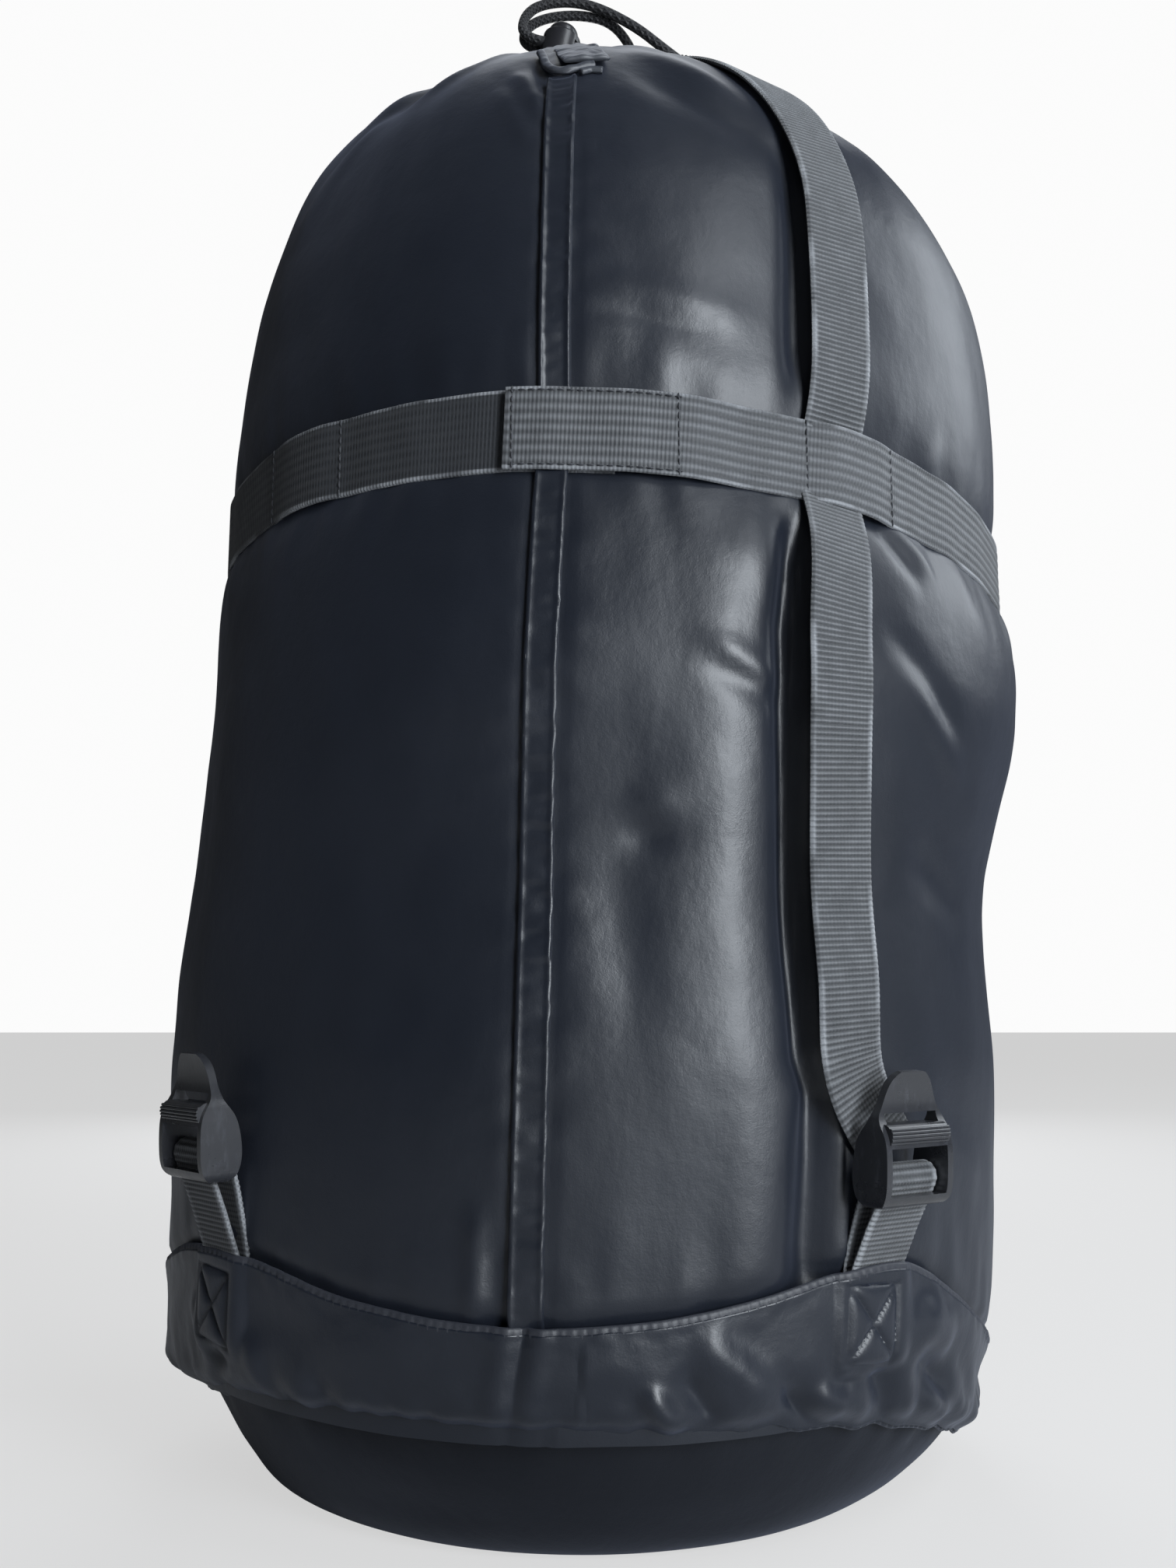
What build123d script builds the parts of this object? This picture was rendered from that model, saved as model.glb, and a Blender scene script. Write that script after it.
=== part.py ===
from build123d import *
import os
from math import cos, hypot, pi, radians, sin, sqrt, tan

# A compression stuff sack, packed full and standing on its bottom panel.
# Millimetres. +Z is up, the origin is the middle of the footprint, and the seam placket faces -Y.
# Azimuths are in degrees from the front (-Y), positive towards +X.

# ---- driving dimensions: cloth ----
SACK_RADIUS = 142.5          # upper half of the tube, outside
LOWER_RADIUS = 144.5         # lower half of the tube, outside
CLOTH = 1.8                  # wall of every cloth shell
LEAN = 5.0                   # the upper half stands this far towards +X
DOME_BASE = 335.0            # height where the tube starts to close
DOME_RISE = 170.0
DOME_ROUND = 1.9             # exponents of the dome's outline
DOME_CLOSE = 2.8
FOOT_RADIUS = 100.0          # flat part of the bottom panel
SEAM_Z = 42.0                # bottom panel meets tube and cap
LOWER_TOP = 172.0
STEP_Z = 276.0               # below it the upper half is a slimmer skirt inside the lower half
SKIRT_RADIUS = 136.0
SKIRT_OVERLAP = 17.0
CLEAR = 0.3                  # gap between pieces that don't touch

# ---- driving dimensions: webbing, buckles, band ----
WEB = 1.5                    # thickness of the webbing
STRAP_WIDTH = 21.0
BAND_WIDTH = 25.0
BAND_Z = 304.5               # middle of the girth band
BAND_TILT = (3.0, -3.5)      # degrees about Y (right side low) and about X (front high)
LAP = (-12.5, 8.0)           # azimuths of the lap of the band's outer end
TUNNELS = (30.3, -42.5, 120.0, -137.0)
TUNNEL_HALF = 6.8            # degrees from a tunnel's middle to its stitch lines
BAR_RADIUS_POS = 153.0       # distance of a buckle's fixed bar from the sack's axis
CORNERS = (                  # name, azimuth of tab and buckle, height of the buckle's fixed bar
    ("front_right", 34.0, 105.0),
    ("front_left", -47.0, 109.0),
    ("rear_left", -137.0, 107.0),
    ("rear_right", 124.0, 107.0),
)
HANGING = (                  # the straps that hang down to their buckles: name, azimuth, height of that bar
    ("front_right", 28.5, 105.0),
    ("rear_left", -137.0, 107.0),
    ("rear_right", 122.0, 107.0),
)
CAP_PEAK = 79.0              # top edge of the cap at the tabs
CAP_VALLEYS = (67.0, 46.0, 52.0, 58.0)   # and midway between them: front, right, rear, left
SECTORS = ((-47.0, 34.0), (34.0, 124.0), (124.0, 223.0), (223.0, 313.0))
PLACKET_AZ = (-5.5, -6.5)    # lower and upper stretch
PLACKET_START = 117.0        # its upper end, measured from the sack's axis
PLACKET_WIDTH = 9.0

# ---- driving dimensions: mouth, cord, lock ----
MOUTH = (-3.0, -46.0, 491.0)
MOUTH_TILT = 20.0            # the cinched mouth faces a little forward
HEM_TAB_AZ = -3.4            # azimuth of the flap below the mouth
HEM_TAB_REACH = (66.0, 76.0, 86.0, 95.0, 104.0, 112.0)   # distances of its course from the axis
HEM_TAB_WIDTH = 15.0
HEM_TAB_THICK = 1.6
HEM_TAB_GAP = 1.6            # cloth to the flap's underside
HEM_RING = 16.5
HEM_TUBE = 4.2
CORD = 3.6
LOCK = (-10.5, -52.0, 503.5)
LOCK_TILT = 12.0
LOCK_RADIUS = 7.0
CORD_HALF_PITCH = 2.4        # the two strands lie side by side in the lock
PRESS = 2.5                  # travel of the lock's button
LOOP = (                     # route of the free loop, from the lock and back to it
    (-17.35, -54.4, 504.96),
    (-24.2, -54.6, 506.4),
    (-24.4, -54.4, 514.4),
    (-17.8, -54.0, 520.8),
    (-1.8, -53.2, 522.4),
    (16.5, -51.8, 514.2),
    (29.5, -49.5, 504.6),
    (43.0, -40.0, 501.2),
    (51.5, -23.0, 500.6),
    (51.0, -4.0, 501.6),
    (40.0, 11.0, 504.0),
    (23.5, 13.0, 507.2),
    (11.5, 4.0, 508.6),
    (10.0, -10.0, 508.0),
    (15.0, -22.0, 506.4),
    (19.5, -32.5, 505.6),
    (17.0, -43.0, 510.4),
    (9.0, -48.6, 517.4),
    (-3.0, -49.4, 519.8),
    (-16.5, -50.0, 518.0),
    (-24.0, -49.9, 513.2),
    (-24.2, -49.7, 506.3),
    (-17.35, -49.6, 504.96),
)


def turned(shape, azimuth):
    """Turns a shape modelled at the front (facing -Y) to an azimuth."""
    return Rot(0, 0, azimuth) * shape


def dome_height(rho, radius=SACK_RADIUS, rise=DOME_RISE):
    """Height of the dome's outer face at a distance rho from its axis."""
    return DOME_BASE + rise * (1 - (rho / radius) ** DOME_ROUND) ** (1 / DOME_CLOSE)


def dome_points(radius, rise):
    """Points on the dome's outline from the tube to the summit."""
    angles = [radians(a) for a in (6, 14, 24, 36, 48, 60, 75)]
    rhos = [radius * cos(a) for a in angles]
    rim = [(radius, 0, DOME_BASE)]
    return rim + [(rho, 0, dome_height(rho, radius, rise)) for rho in rhos] + [(0, 0, DOME_BASE + rise)]


def revolved(edges, axis_x=0.0):
    """Solid of revolution of a closed outline drawn in the XZ plane, moved to its own axis."""
    return Pos(axis_x, 0, 0) * revolve(make_face(edges), Axis.Z)


def ring(inner, outer, low, high):
    return Pos(0, 0, low) * (Cylinder(outer, high - low, align=(Align.CENTER, Align.CENTER, Align.MIN))
                             - Cylinder(inner, high - low, align=(Align.CENTER, Align.CENTER, Align.MIN)))


def dome_spline(radius, rise):
    return Spline(dome_points(radius, rise), tangents=[(0, 0, 1), (-1, 0, 0)])


# ---- cloth of the sack ----
def make_bottom_panel():
    t = CLOTH
    outer = ThreePointArc((FOOT_RADIUS, 0, 0), (128, 0, 14), (LOWER_RADIUS, 0, SEAM_Z))
    inner = ThreePointArc((LOWER_RADIUS - t, 0, SEAM_Z), (126.6, 0, 15.5), (FOOT_RADIUS, 0, t))
    lines = [
        Line((0, 0, 0), (FOOT_RADIUS, 0, 0)),
        outer,
        Line((LOWER_RADIUS, 0, SEAM_Z), (LOWER_RADIUS - t, 0, SEAM_Z)),
        inner,
        Line((FOOT_RADIUS, 0, t), (0, 0, t)),
        Line((0, 0, t), (0, 0, 0)),
    ]
    return revolved(lines)


def make_lower_cloth():
    return ring(LOWER_RADIUS - CLOTH, LOWER_RADIUS, SEAM_Z + 0.1, LOWER_TOP)


def make_upper_cloth():
    """Skirt, tube and dome in one shell, with the mouth cut out near the front of the summit."""
    t = CLOTH
    foot = LOWER_TOP - SKIRT_OVERLAP
    outline = [
        Line((SKIRT_RADIUS - t, 0, foot), (SKIRT_RADIUS, 0, foot)),
        Line((SKIRT_RADIUS, 0, foot), (SKIRT_RADIUS, 0, STEP_Z)),
        Line((SKIRT_RADIUS, 0, STEP_Z), (SACK_RADIUS, 0, STEP_Z)),
        Line((SACK_RADIUS, 0, STEP_Z), (SACK_RADIUS, 0, DOME_BASE)),
        dome_spline(SACK_RADIUS, DOME_RISE),
        Line((0, 0, DOME_BASE + DOME_RISE), (0, 0, DOME_BASE + DOME_RISE - t)),
        dome_spline(SACK_RADIUS - t, DOME_RISE - t),
        Line((SACK_RADIUS - t, 0, DOME_BASE), (SACK_RADIUS - t, 0, STEP_Z + t)),
        Line((SACK_RADIUS - t, 0, STEP_Z + t), (SKIRT_RADIUS - t, 0, STEP_Z + t)),
        Line((SKIRT_RADIUS - t, 0, STEP_Z + t), (SKIRT_RADIUS - t, 0, foot)),
    ]
    mouth = Pos(MOUTH[0], MOUTH[1], MOUTH[2]) * Cylinder(HEM_RING + HEM_TUBE + CLEAR, 60)
    return revolved(outline, LEAN) - mouth


def make_load():
    """The packed load: one soft body that fills the sack, clear of its walls."""
    radius, rise, foot = 131.0, 138.0, 4.0
    outline = [
        Line((0, 0, foot), (FOOT_RADIUS - 4, 0, foot)),
        ThreePointArc((FOOT_RADIUS - 4, 0, foot), (120, 0, 18), (radius, 0, SEAM_Z + 6)),
        Line((radius, 0, SEAM_Z + 6), (radius, 0, DOME_BASE)),
        dome_spline(radius, rise),
        Line((0, 0, DOME_BASE + rise), (0, 0, foot)),
    ]
    return revolved(outline, LEAN / 2)


# ---- bottom compression cap ----
def scallop_cutters(drop):
    """Radial cylinders that cut the cap's top edge into sagging arcs, lowered by drop."""
    cutters = []
    for (start, end), valley in zip(SECTORS, CAP_VALLEYS):
        half_chord = LOWER_RADIUS * sin(radians((end - start) / 2)) - STRAP_WIDTH * 0.4
        sag = CAP_PEAK - valley
        radius = (half_chord ** 2 + sag ** 2) / (2 * sag)
        cylinder = Pos(0, -120, valley + radius - drop) * Rot(90, 0, 0) * Cylinder(radius, 90)
        cutters.append(turned(cylinder, (start + end) / 2))
    return cutters


CAP_INNER = LOWER_RADIUS + CLEAR
CAP_OUTER = CAP_INNER + 1.4


def make_cap_panel():
    panel = ring(CAP_INNER, CAP_OUTER, SEAM_Z, CAP_PEAK - 2.4)
    for cutter in scallop_cutters(2.4):
        panel -= cutter
    return panel


def make_cap_binding():
    """Piping that rides on the panel's scalloped edge."""
    band = ring(CAP_INNER, CAP_OUTER + 0.8, SEAM_Z - 10, CAP_PEAK)
    for cutter in scallop_cutters(0):
        band -= cutter
    below = ring(CAP_INNER - 1, CAP_OUTER + 3, SEAM_Z - 20, CAP_PEAK - 2.4)
    for cutter in scallop_cutters(2.4):
        below -= cutter
    return band - below


def make_seam_cord():
    return Pos(0, 0, SEAM_Z - 1.4) * Torus(LOWER_RADIUS + 1.5, 1.3)


def make_cap_seam():
    seam = Pos(0, -(CAP_OUTER + 0.55), 54) * Box(3.0, 0.9, 20)
    return turned(seam, PLACKET_AZ[0])


# ---- webbing tabs and their stitching ----
def make_tab(azimuth, bar_z):
    """Doubled webbing: sewn legs behind the cap's edge, closed loop round the buckle's bar."""
    leg_r = CAP_INNER + 1.5
    leg = Pos(0, -leg_r, (50 + CAP_PEAK) / 2) * Box(STRAP_WIDTH - 1, 2 * WEB, CAP_PEAK - 50)
    with BuildSketch(Plane.YZ) as web:
        with BuildLine():
            CenterArc((-BAR_RADIUS_POS, bar_z), 3.7, 0, 360)
            CenterArc((-leg_r, CAP_PEAK), WEB, 0, 360)
        make_hull()
    loop = extrude(web.sketch, amount=(STRAP_WIDTH - 1) / 2, both=True)
    bore = Pos(0, -BAR_RADIUS_POS, bar_z) * Rot(0, 90, 0) * Cylinder(2.2, STRAP_WIDTH * 2)
    return turned(loop + leg - bore, azimuth)


def make_tab_stitching():
    """Box-X stitch rows on the cap's face, one group for each tab."""
    width, height, middle = 19.0, 24.0, 62.0
    face = -(CAP_INNER + 2 * WEB + 0.45)
    slope = Pos(0, face, middle) * Rot(0, 38.4, 0) * Box(0.7, 0.6, hypot(width, height) - 1)
    rows = slope + Pos(0, face, middle) * Rot(0, -38.4, 0) * Box(0.7, 0.6, hypot(width, height) - 1)
    for side in (-1, 1):
        rows += Pos(side * width / 2, face, middle) * Box(0.7, 0.6, height)
        rows += Pos(0, face, middle + side * height / 2) * Box(width + 0.7, 0.6, 0.7)
    return Compound(children=[turned(rows, azimuth) for _, azimuth, _ in CORNERS])


# ---- ladderlock buckles ----
BUCKLE_WIDTH = 25.6
SLOT_WIDTH = 21.4
GRIP_RADIUS = 3.0            # ridged bar that bites the strap
GRIP_OUT = 4.9               # how far that bar is outward of the fixed bar
GRIP_UP = 12.0               # how far it is above the fixed bar
RIDGE_RADIUS = 0.45
FRONT_EDGE = ((3.2, -7.2), (5.6, -5.4), (7.1, 0), (7.4, 6), (6.6, 12), (4.4, 16.5), (4.0, 20.5), (5.8, 28.5))
BACK_EDGE = ((3.6, 28.9), (1.6, 21), (0.6, 16), (-2.6, 12), (-5.0, 6), (-5.7, 0), (-4.4, -5), (-2.0, -7.2))


def buckle_point(point, bar_z):
    """A point of the buckle's side outline (outward, up, from its fixed bar) in the YZ plane."""
    return (-(BAR_RADIUS_POS + point[0]), bar_z + point[1])


def make_buckle(azimuth, bar_z):
    """Curved side rails, thumb tongue, ridged bar, foot bar, and a round fixed bar."""
    front = [buckle_point(p, bar_z) for p in FRONT_EDGE]
    back = [buckle_point(p, bar_z) for p in BACK_EDGE]
    with BuildSketch(Plane.YZ) as side:
        with BuildLine():
            Spline(front)
            Line(front[-1], back[0])
            Spline(back)
            Line(back[-1], front[0])
        make_face()
    slab = extrude(side.sketch, amount=BUCKLE_WIDTH / 2, both=True)
    half = BUCKLE_WIDTH / 2
    with BuildSketch(Plane.XZ) as outline:
        with BuildLine():
            Line((-half + 3, bar_z - 7.6), (half - 3, bar_z - 7.6))
            RadiusArc((half - 3, bar_z - 7.6), (half, bar_z - 4.6), -3)
            Line((half, bar_z - 4.6), (half, bar_z + 13.5))
            Spline((half, bar_z + 13.5), (10.6, bar_z + 19.5), (7.4, bar_z + 26.2),
                   (0, bar_z + 29.6),
                   (-7.4, bar_z + 26.2), (-10.6, bar_z + 19.5), (-half, bar_z + 13.5),
                   tangents=[(0, 1), (0, -1)])
            Line((-half, bar_z + 13.5), (-half, bar_z - 4.6))
            RadiusArc((-half, bar_z - 4.6), (-half + 3, bar_z - 7.6), -3)
        make_face()
    body = slab & extrude(outline.sketch, amount=200)
    lower_slot = Pos(0, -BAR_RADIUS_POS, bar_z + 2.2) * Box(SLOT_WIDTH, 30, 12.8)
    upper_slot = Pos(0, -BAR_RADIUS_POS, bar_z + 16.3) * Box(SLOT_WIDTH - 1.4, 30, 2.8)
    behind_foot = Pos(0, -BAR_RADIUS_POS + 6, bar_z - 6) * Box(SLOT_WIDTH, 18.0, 6)
    behind_bar = Pos(0, -BAR_RADIUS_POS + 7, bar_z + 9) * Box(SLOT_WIDTH, 18.0, 9)
    body = body - lower_slot - upper_slot - behind_foot - behind_bar
    grip = Pos(0, -BAR_RADIUS_POS - GRIP_OUT, bar_z + GRIP_UP)
    body += grip * Rot(0, 90, 0) * Cylinder(GRIP_RADIUS, SLOT_WIDTH + 1)
    for angle in (-40, -22, -4, 14, 32):
        ridge = Pos(0, -GRIP_RADIUS * cos(radians(angle)), GRIP_RADIUS * sin(radians(angle)))
        body += grip * ridge * Rot(0, 90, 0) * Cylinder(RIDGE_RADIUS, SLOT_WIDTH + 1)
    body += Pos(0, -BAR_RADIUS_POS, bar_z) * Rot(0, 90, 0) * Cylinder(1.9, SLOT_WIDTH + 2)
    return turned(body, azimuth)


# ---- strips that follow the sack in a vertical plane ----
def strip(origin, heading, inner, outer, width):
    """A strip between two outlines given as (distance along heading, height), extruded to its width."""
    dx, dy = heading
    plane = Plane(origin=(origin[0], origin[1], 0), x_dir=(dx, dy, 0), z_dir=(dy, -dx, 0))
    with BuildSketch(plane) as profile:
        with BuildLine():
            Spline(outer)
            Line(outer[-1], inner[-1])
            Spline(inner[::-1])
            Line(inner[0], outer[0])
        make_face()
    return extrude(profile.sketch, amount=width / 2, both=True)


def heading_of(azimuth):
    return (sin(radians(azimuth)), -cos(radians(azimuth)))


def on_dome(origin, heading, distance, gap):
    """Height of a point that lies gap above the dome, at a distance along a vertical plane."""
    x = origin[0] + heading[0] * distance - LEAN
    y = origin[1] + heading[1] * distance
    return dome_height(hypot(x, y) / (1 + gap / SACK_RADIUS)) + gap


def tube_distance(origin, heading, radius):
    """Distance along a vertical plane at which it leaves the upper tube."""
    x, y = origin[0] - LEAN, origin[1]
    along = x * heading[0] + y * heading[1]
    return -along + sqrt(along ** 2 - (x * x + y * y) + radius ** 2)


def over_dome(origin, heading, start, gap):
    """Points from a start distance over the dome to the upper tube, at a gap from the cloth."""
    reach = tube_distance(origin, heading, SACK_RADIUS + gap)
    steps = (0.0, 0.22, 0.42, 0.6, 0.75, 0.87, 0.955)
    distances = [start + (reach - start) * s for s in steps]
    points = [(d, on_dome(origin, heading, d, gap)) for d in distances]
    return points + [(reach, DOME_BASE)], reach


def make_placket_upper():
    heading = heading_of(PLACKET_AZ[1])
    sides = []
    for gap in (0.8, 1.6):
        points, reach = over_dome((0, 0), heading, PLACKET_START, gap)
        sides.append(points + [(reach, STEP_Z + 1)])
    return strip((0, 0), heading, sides[0], sides[1], PLACKET_WIDTH)


def make_placket_lower():
    strip_box = Pos(0, -(LOWER_RADIUS + 0.75), (SEAM_Z + 26 + LOWER_TOP) / 2)
    strip_box *= Box(PLACKET_WIDTH, 0.9, LOWER_TOP - SEAM_Z - 28)
    return turned(strip_box, PLACKET_AZ[0])


STRAP_ANCHOR = 58.0          # distance of the sewn upper ends from the sack's axis


def make_strap(azimuth, bar_z):
    """Down from the dome, under the band, and behind the buckle, where its end is tucked."""
    heading = heading_of(azimuth)
    sides = []
    for thick in (0.0, WEB):
        points, reach = over_dome((0, 0), heading, STRAP_ANCHOR, 1.2 + thick)
        shoulder = max(reach - thick, 144.0) + thick
        points += [(reach - 0.6, BAND_Z), (shoulder + 0.2, 262), (148.0 + thick, 225), (147.8 + thick, 185),
                   (146.2 + thick, 150), (145.1 + thick, bar_z + 14), (145.1 + thick, bar_z + 5)]
        sides.append(points)
    return strip((0, 0), heading, sides[0], sides[1], STRAP_WIDTH)


THROWN_FROM = (-39.6, -43.1)     # anchor of the strap that lies over the dome to the rear
THROWN_TO = (25.3, 144.6)


def make_thrown_strap():
    """The front left strap: thrown back over the dome, hanging down the rear over the band."""
    dx, dy = THROWN_TO[0] - THROWN_FROM[0], THROWN_TO[1] - THROWN_FROM[1]
    heading = (dx / hypot(dx, dy), dy / hypot(dx, dy))
    sides = []
    for thick in (0.0, WEB):
        points, _ = over_dome(THROWN_FROM, heading, 0, 5.0 + thick)
        for radius, z in ((BAND_INNER + WEB + 4.0, BAND_Z), (150.5, 262), (149.0, 225), (148.0, 190)):
            points.append((tube_distance(THROWN_FROM, heading, radius) + thick, z))
        sides.append(points)
    return strip(THROWN_FROM, heading, sides[0], sides[1], STRAP_WIDTH)


def make_anchor_stitching():
    """Box-X rows that sew each strap's upper end to the dome."""
    groups = []
    for _, azimuth, _ in HANGING:
        heading = heading_of(azimuth)
        low = on_dome((0, 0), heading, STRAP_ANCHOR + 18, 3.5)
        high = on_dome((0, 0), heading, STRAP_ANCHOR + 2, 3.5)
        middle = STRAP_ANCHOR + 10
        slope = Plane(origin=(heading[0] * middle, heading[1] * middle, (low + high) / 2),
                      x_dir=(-heading[1], heading[0], 0),
                      z_dir=(heading[0] * (high - low) / 16, heading[1] * (high - low) / 16, 1))
        rows = Box(0.7, 21, 0.5, rotation=(0, 0, 45)) + Box(0.7, 21, 0.5, rotation=(0, 0, -45))
        for side in (-1, 1):
            rows += Pos(side * 7.5, 0, 0) * Box(0.7, 15.7, 0.5)
            rows += Pos(0, side * 7.5, 0) * Box(15.7, 0.7, 0.5)
        groups.append(slope * rows)
    return Compound(children=groups)


# ---- girth band ----
BAND_INNER = SACK_RADIUS + 0.6 + WEB + 2.4
BAND_PLACE = Pos(LEAN, 0, BAND_Z) * Rot(BAND_TILT[1], BAND_TILT[0], 0)


def arc_ring(inner, outer, height, start, end):
    """Part of a ring about Z between two azimuths, centred on z = 0."""
    whole = ring(inner, outer, -height / 2, height / 2)
    middle, half = (start + end) / 2, radians((end - start) / 2)
    reach = outer * 1.6
    across, back = reach * sin(half), reach * cos(half)
    with BuildSketch() as wedge:
        Polygon((0, 0), (-across, -back), (0, -reach), (across, -back), align=None)
    return whole & turned(Pos(0, 0, -height) * extrude(wedge.sketch, amount=2 * height), middle)


def make_band():
    """One strip of webbing round the sack, its end lapped over its start at the front."""
    band = ring(BAND_INNER, BAND_INNER + WEB, -BAND_WIDTH / 2, BAND_WIDTH / 2)
    lap = arc_ring(BAND_INNER + WEB - 0.1, BAND_INNER + 2 * WEB, BAND_WIDTH, LAP[0], LAP[1])
    return BAND_PLACE * (band + lap)


def make_band_stitching():
    """Stitch rows across the band at both sides of each tunnel, and round the lapped end."""
    rows = []
    for azimuth in TUNNELS:
        for side in (-1, 1):
            row = Pos(0, -(BAND_INNER + WEB + 0.4), 0) * Box(0.8, 0.6, BAND_WIDTH - 3)
            rows.append(BAND_PLACE * turned(row, azimuth + side * TUNNEL_HALF))
    for azimuth in (LAP[0] + 1.2, LAP[1] - 1.2):
        row = Pos(0, -(BAND_INNER + 2 * WEB + 0.4), 0) * Box(0.8, 0.6, BAND_WIDTH - 4)
        rows.append(BAND_PLACE * turned(row, azimuth))
    return Compound(children=rows)


# ---- mouth: hem channel, tab, drawcord ----
MOUTH_PLACE = Pos(*MOUTH) * Rot(MOUTH_TILT, 0, 0)


def tube_along(points, radii, diameter):
    """Round tube along straight runs joined by tangent arcs."""
    path = FilletPolyline(*points, radius=radii)
    start = path @ 0
    heading = path % 0
    section = Plane(origin=start, z_dir=heading) * Circle(diameter / 2)
    return sweep(section, path=path), path.length


def lead_in(side):
    """Route of one strand: through the lock, out at its right, and down into the hem."""
    shift = Vector(0, side * CORD_HALF_PITCH, 0)
    along = Vector(cos(radians(LOCK_TILT)), 0, -sin(radians(LOCK_TILT)))
    centre = Vector(*LOCK) + shift
    return [
        centre - along * LOCK_RADIUS,
        centre + along * (LOCK_RADIUS + 3.5),
        centre + along * (LOCK_RADIUS + 6.0) + Vector(0, -4, -6.5),
        Vector(1.6 + 2.2 * (side + 1), -60.9 + 0.3 * (side + 1), 485.6),
    ]


def make_held_cord():
    """The drawcord's held part: once round in the hem, and both strands through the lock."""
    cord = MOUTH_PLACE * Torus(HEM_RING, CORD / 2)
    for side in (-1, 1):
        strand, _ = tube_along(lead_in(side), (3.6, 3.6), CORD)
        cord += strand
    return cord


def make_hem():
    """Hem channel: cloth folded round the cord, its edges meeting inside, with an eyelet for the strands."""
    with BuildSketch(Plane.XZ) as fold:
        with Locations((HEM_RING, 0)):
            Circle(HEM_TUBE)
            Circle(CORD / 2 + CLEAR, mode=Mode.SUBTRACT)
        with Locations((HEM_RING - HEM_TUBE, 0)):
            Rectangle(2 * HEM_TUBE - CORD, 0.5, mode=Mode.SUBTRACT)
    channel = MOUTH_PLACE * revolve(fold.sketch, Axis.Z)
    for side in (-1, 1):
        passage, _ = tube_along(lead_in(side), (3.6, 3.6), CORD + 4 * CLEAR)
        channel -= passage
    return channel


def make_mouth_gathers():
    """The gathered cloth that closes the cinched mouth, inside the hem ring."""
    return MOUTH_PLACE * Pos(0, 0, -3.2) * Cylinder(HEM_RING - HEM_TUBE - 0.4, CLOTH)


def make_hem_tab():
    """A folded flap of cloth that lies over the dome from the hem, its lower end free."""
    heading = heading_of(HEM_TAB_AZ)
    sides = []
    for gap in (HEM_TAB_GAP, HEM_TAB_GAP + HEM_TAB_THICK):
        sides.append([(d, on_dome((0, 0), heading, d, gap)) for d in HEM_TAB_REACH])
    return strip((0, 0), heading, sides[0], sides[1], HEM_TAB_WIDTH)


def loop_radii(points):
    """Radius of each arc: 0.45 of the shorter run beside it, divided by the tangent of half the turn."""
    radii = []
    for a, b, c in zip(points, points[1:], points[2:]):
        first, second = Vector(*b) - Vector(*a), Vector(*c) - Vector(*b)
        half_turn = radians(first.get_angle(second) / 2)
        radii.append(0.45 * min(first.length, second.length) / tan(half_turn))
    return radii


# ---- cord lock ----
LOCK_PLACE = Pos(*LOCK) * Rot(0, LOCK_TILT, 0)
LOCK_FLOOR, LOCK_TOP = -9.3, 4.5
BORE = 5.6
BRIDGE = -4.0                # underside of the button's stem


def cord_slot(low, high):
    """Passage for the two strands side by side, between two heights in the lock."""
    return Pos(0, 0, (low + high) / 2) * Box(40, 2 * (CORD_HALF_PITCH + CORD / 2) + 0.4, high - low)


def make_lock_barrel():
    height = LOCK_TOP - LOCK_FLOOR
    barrel = Pos(0, 0, LOCK_FLOOR + height / 2) * Cylinder(LOCK_RADIUS, height)
    barrel = fillet(barrel.edges().filter_by(GeomType.CIRCLE), 0.9)
    barrel -= Pos(0, 0, (LOCK_FLOOR + 1.2 + LOCK_TOP + 1) / 2) * Cylinder(BORE, height - 0.2)
    return LOCK_PLACE * (barrel - cord_slot(-CORD / 2 - 0.15, CORD / 2 + 0.15))


def make_lock_button():
    head = LOCK_TOP + 4.0
    stem = Pos(0, 0, (BRIDGE + head) / 2) * Cylinder(BORE - 0.08, head - BRIDGE)
    stem = fillet(stem.edges().filter_by(GeomType.CIRCLE).sort_by(Axis.Z)[-1], 2.6)
    return LOCK_PLACE * (stem - cord_slot(-CORD / 2 - 0.15, CORD / 2 + 0.15 + PRESS))


def make_lock_spring():
    low, wire, coil = LOCK_FLOOR + 1.2, 0.25, 3.6
    height = BRIDGE - low - 2 * wire - 0.1
    path = Pos(0, 0, low + wire + 0.05) * Helix(pitch=height / 2.5, height=height, radius=coil)
    section = Plane(origin=path @ 0, z_dir=path % 0) * Circle(wire)
    return LOCK_PLACE * sweep(section, path=path, is_frenet=True)


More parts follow.
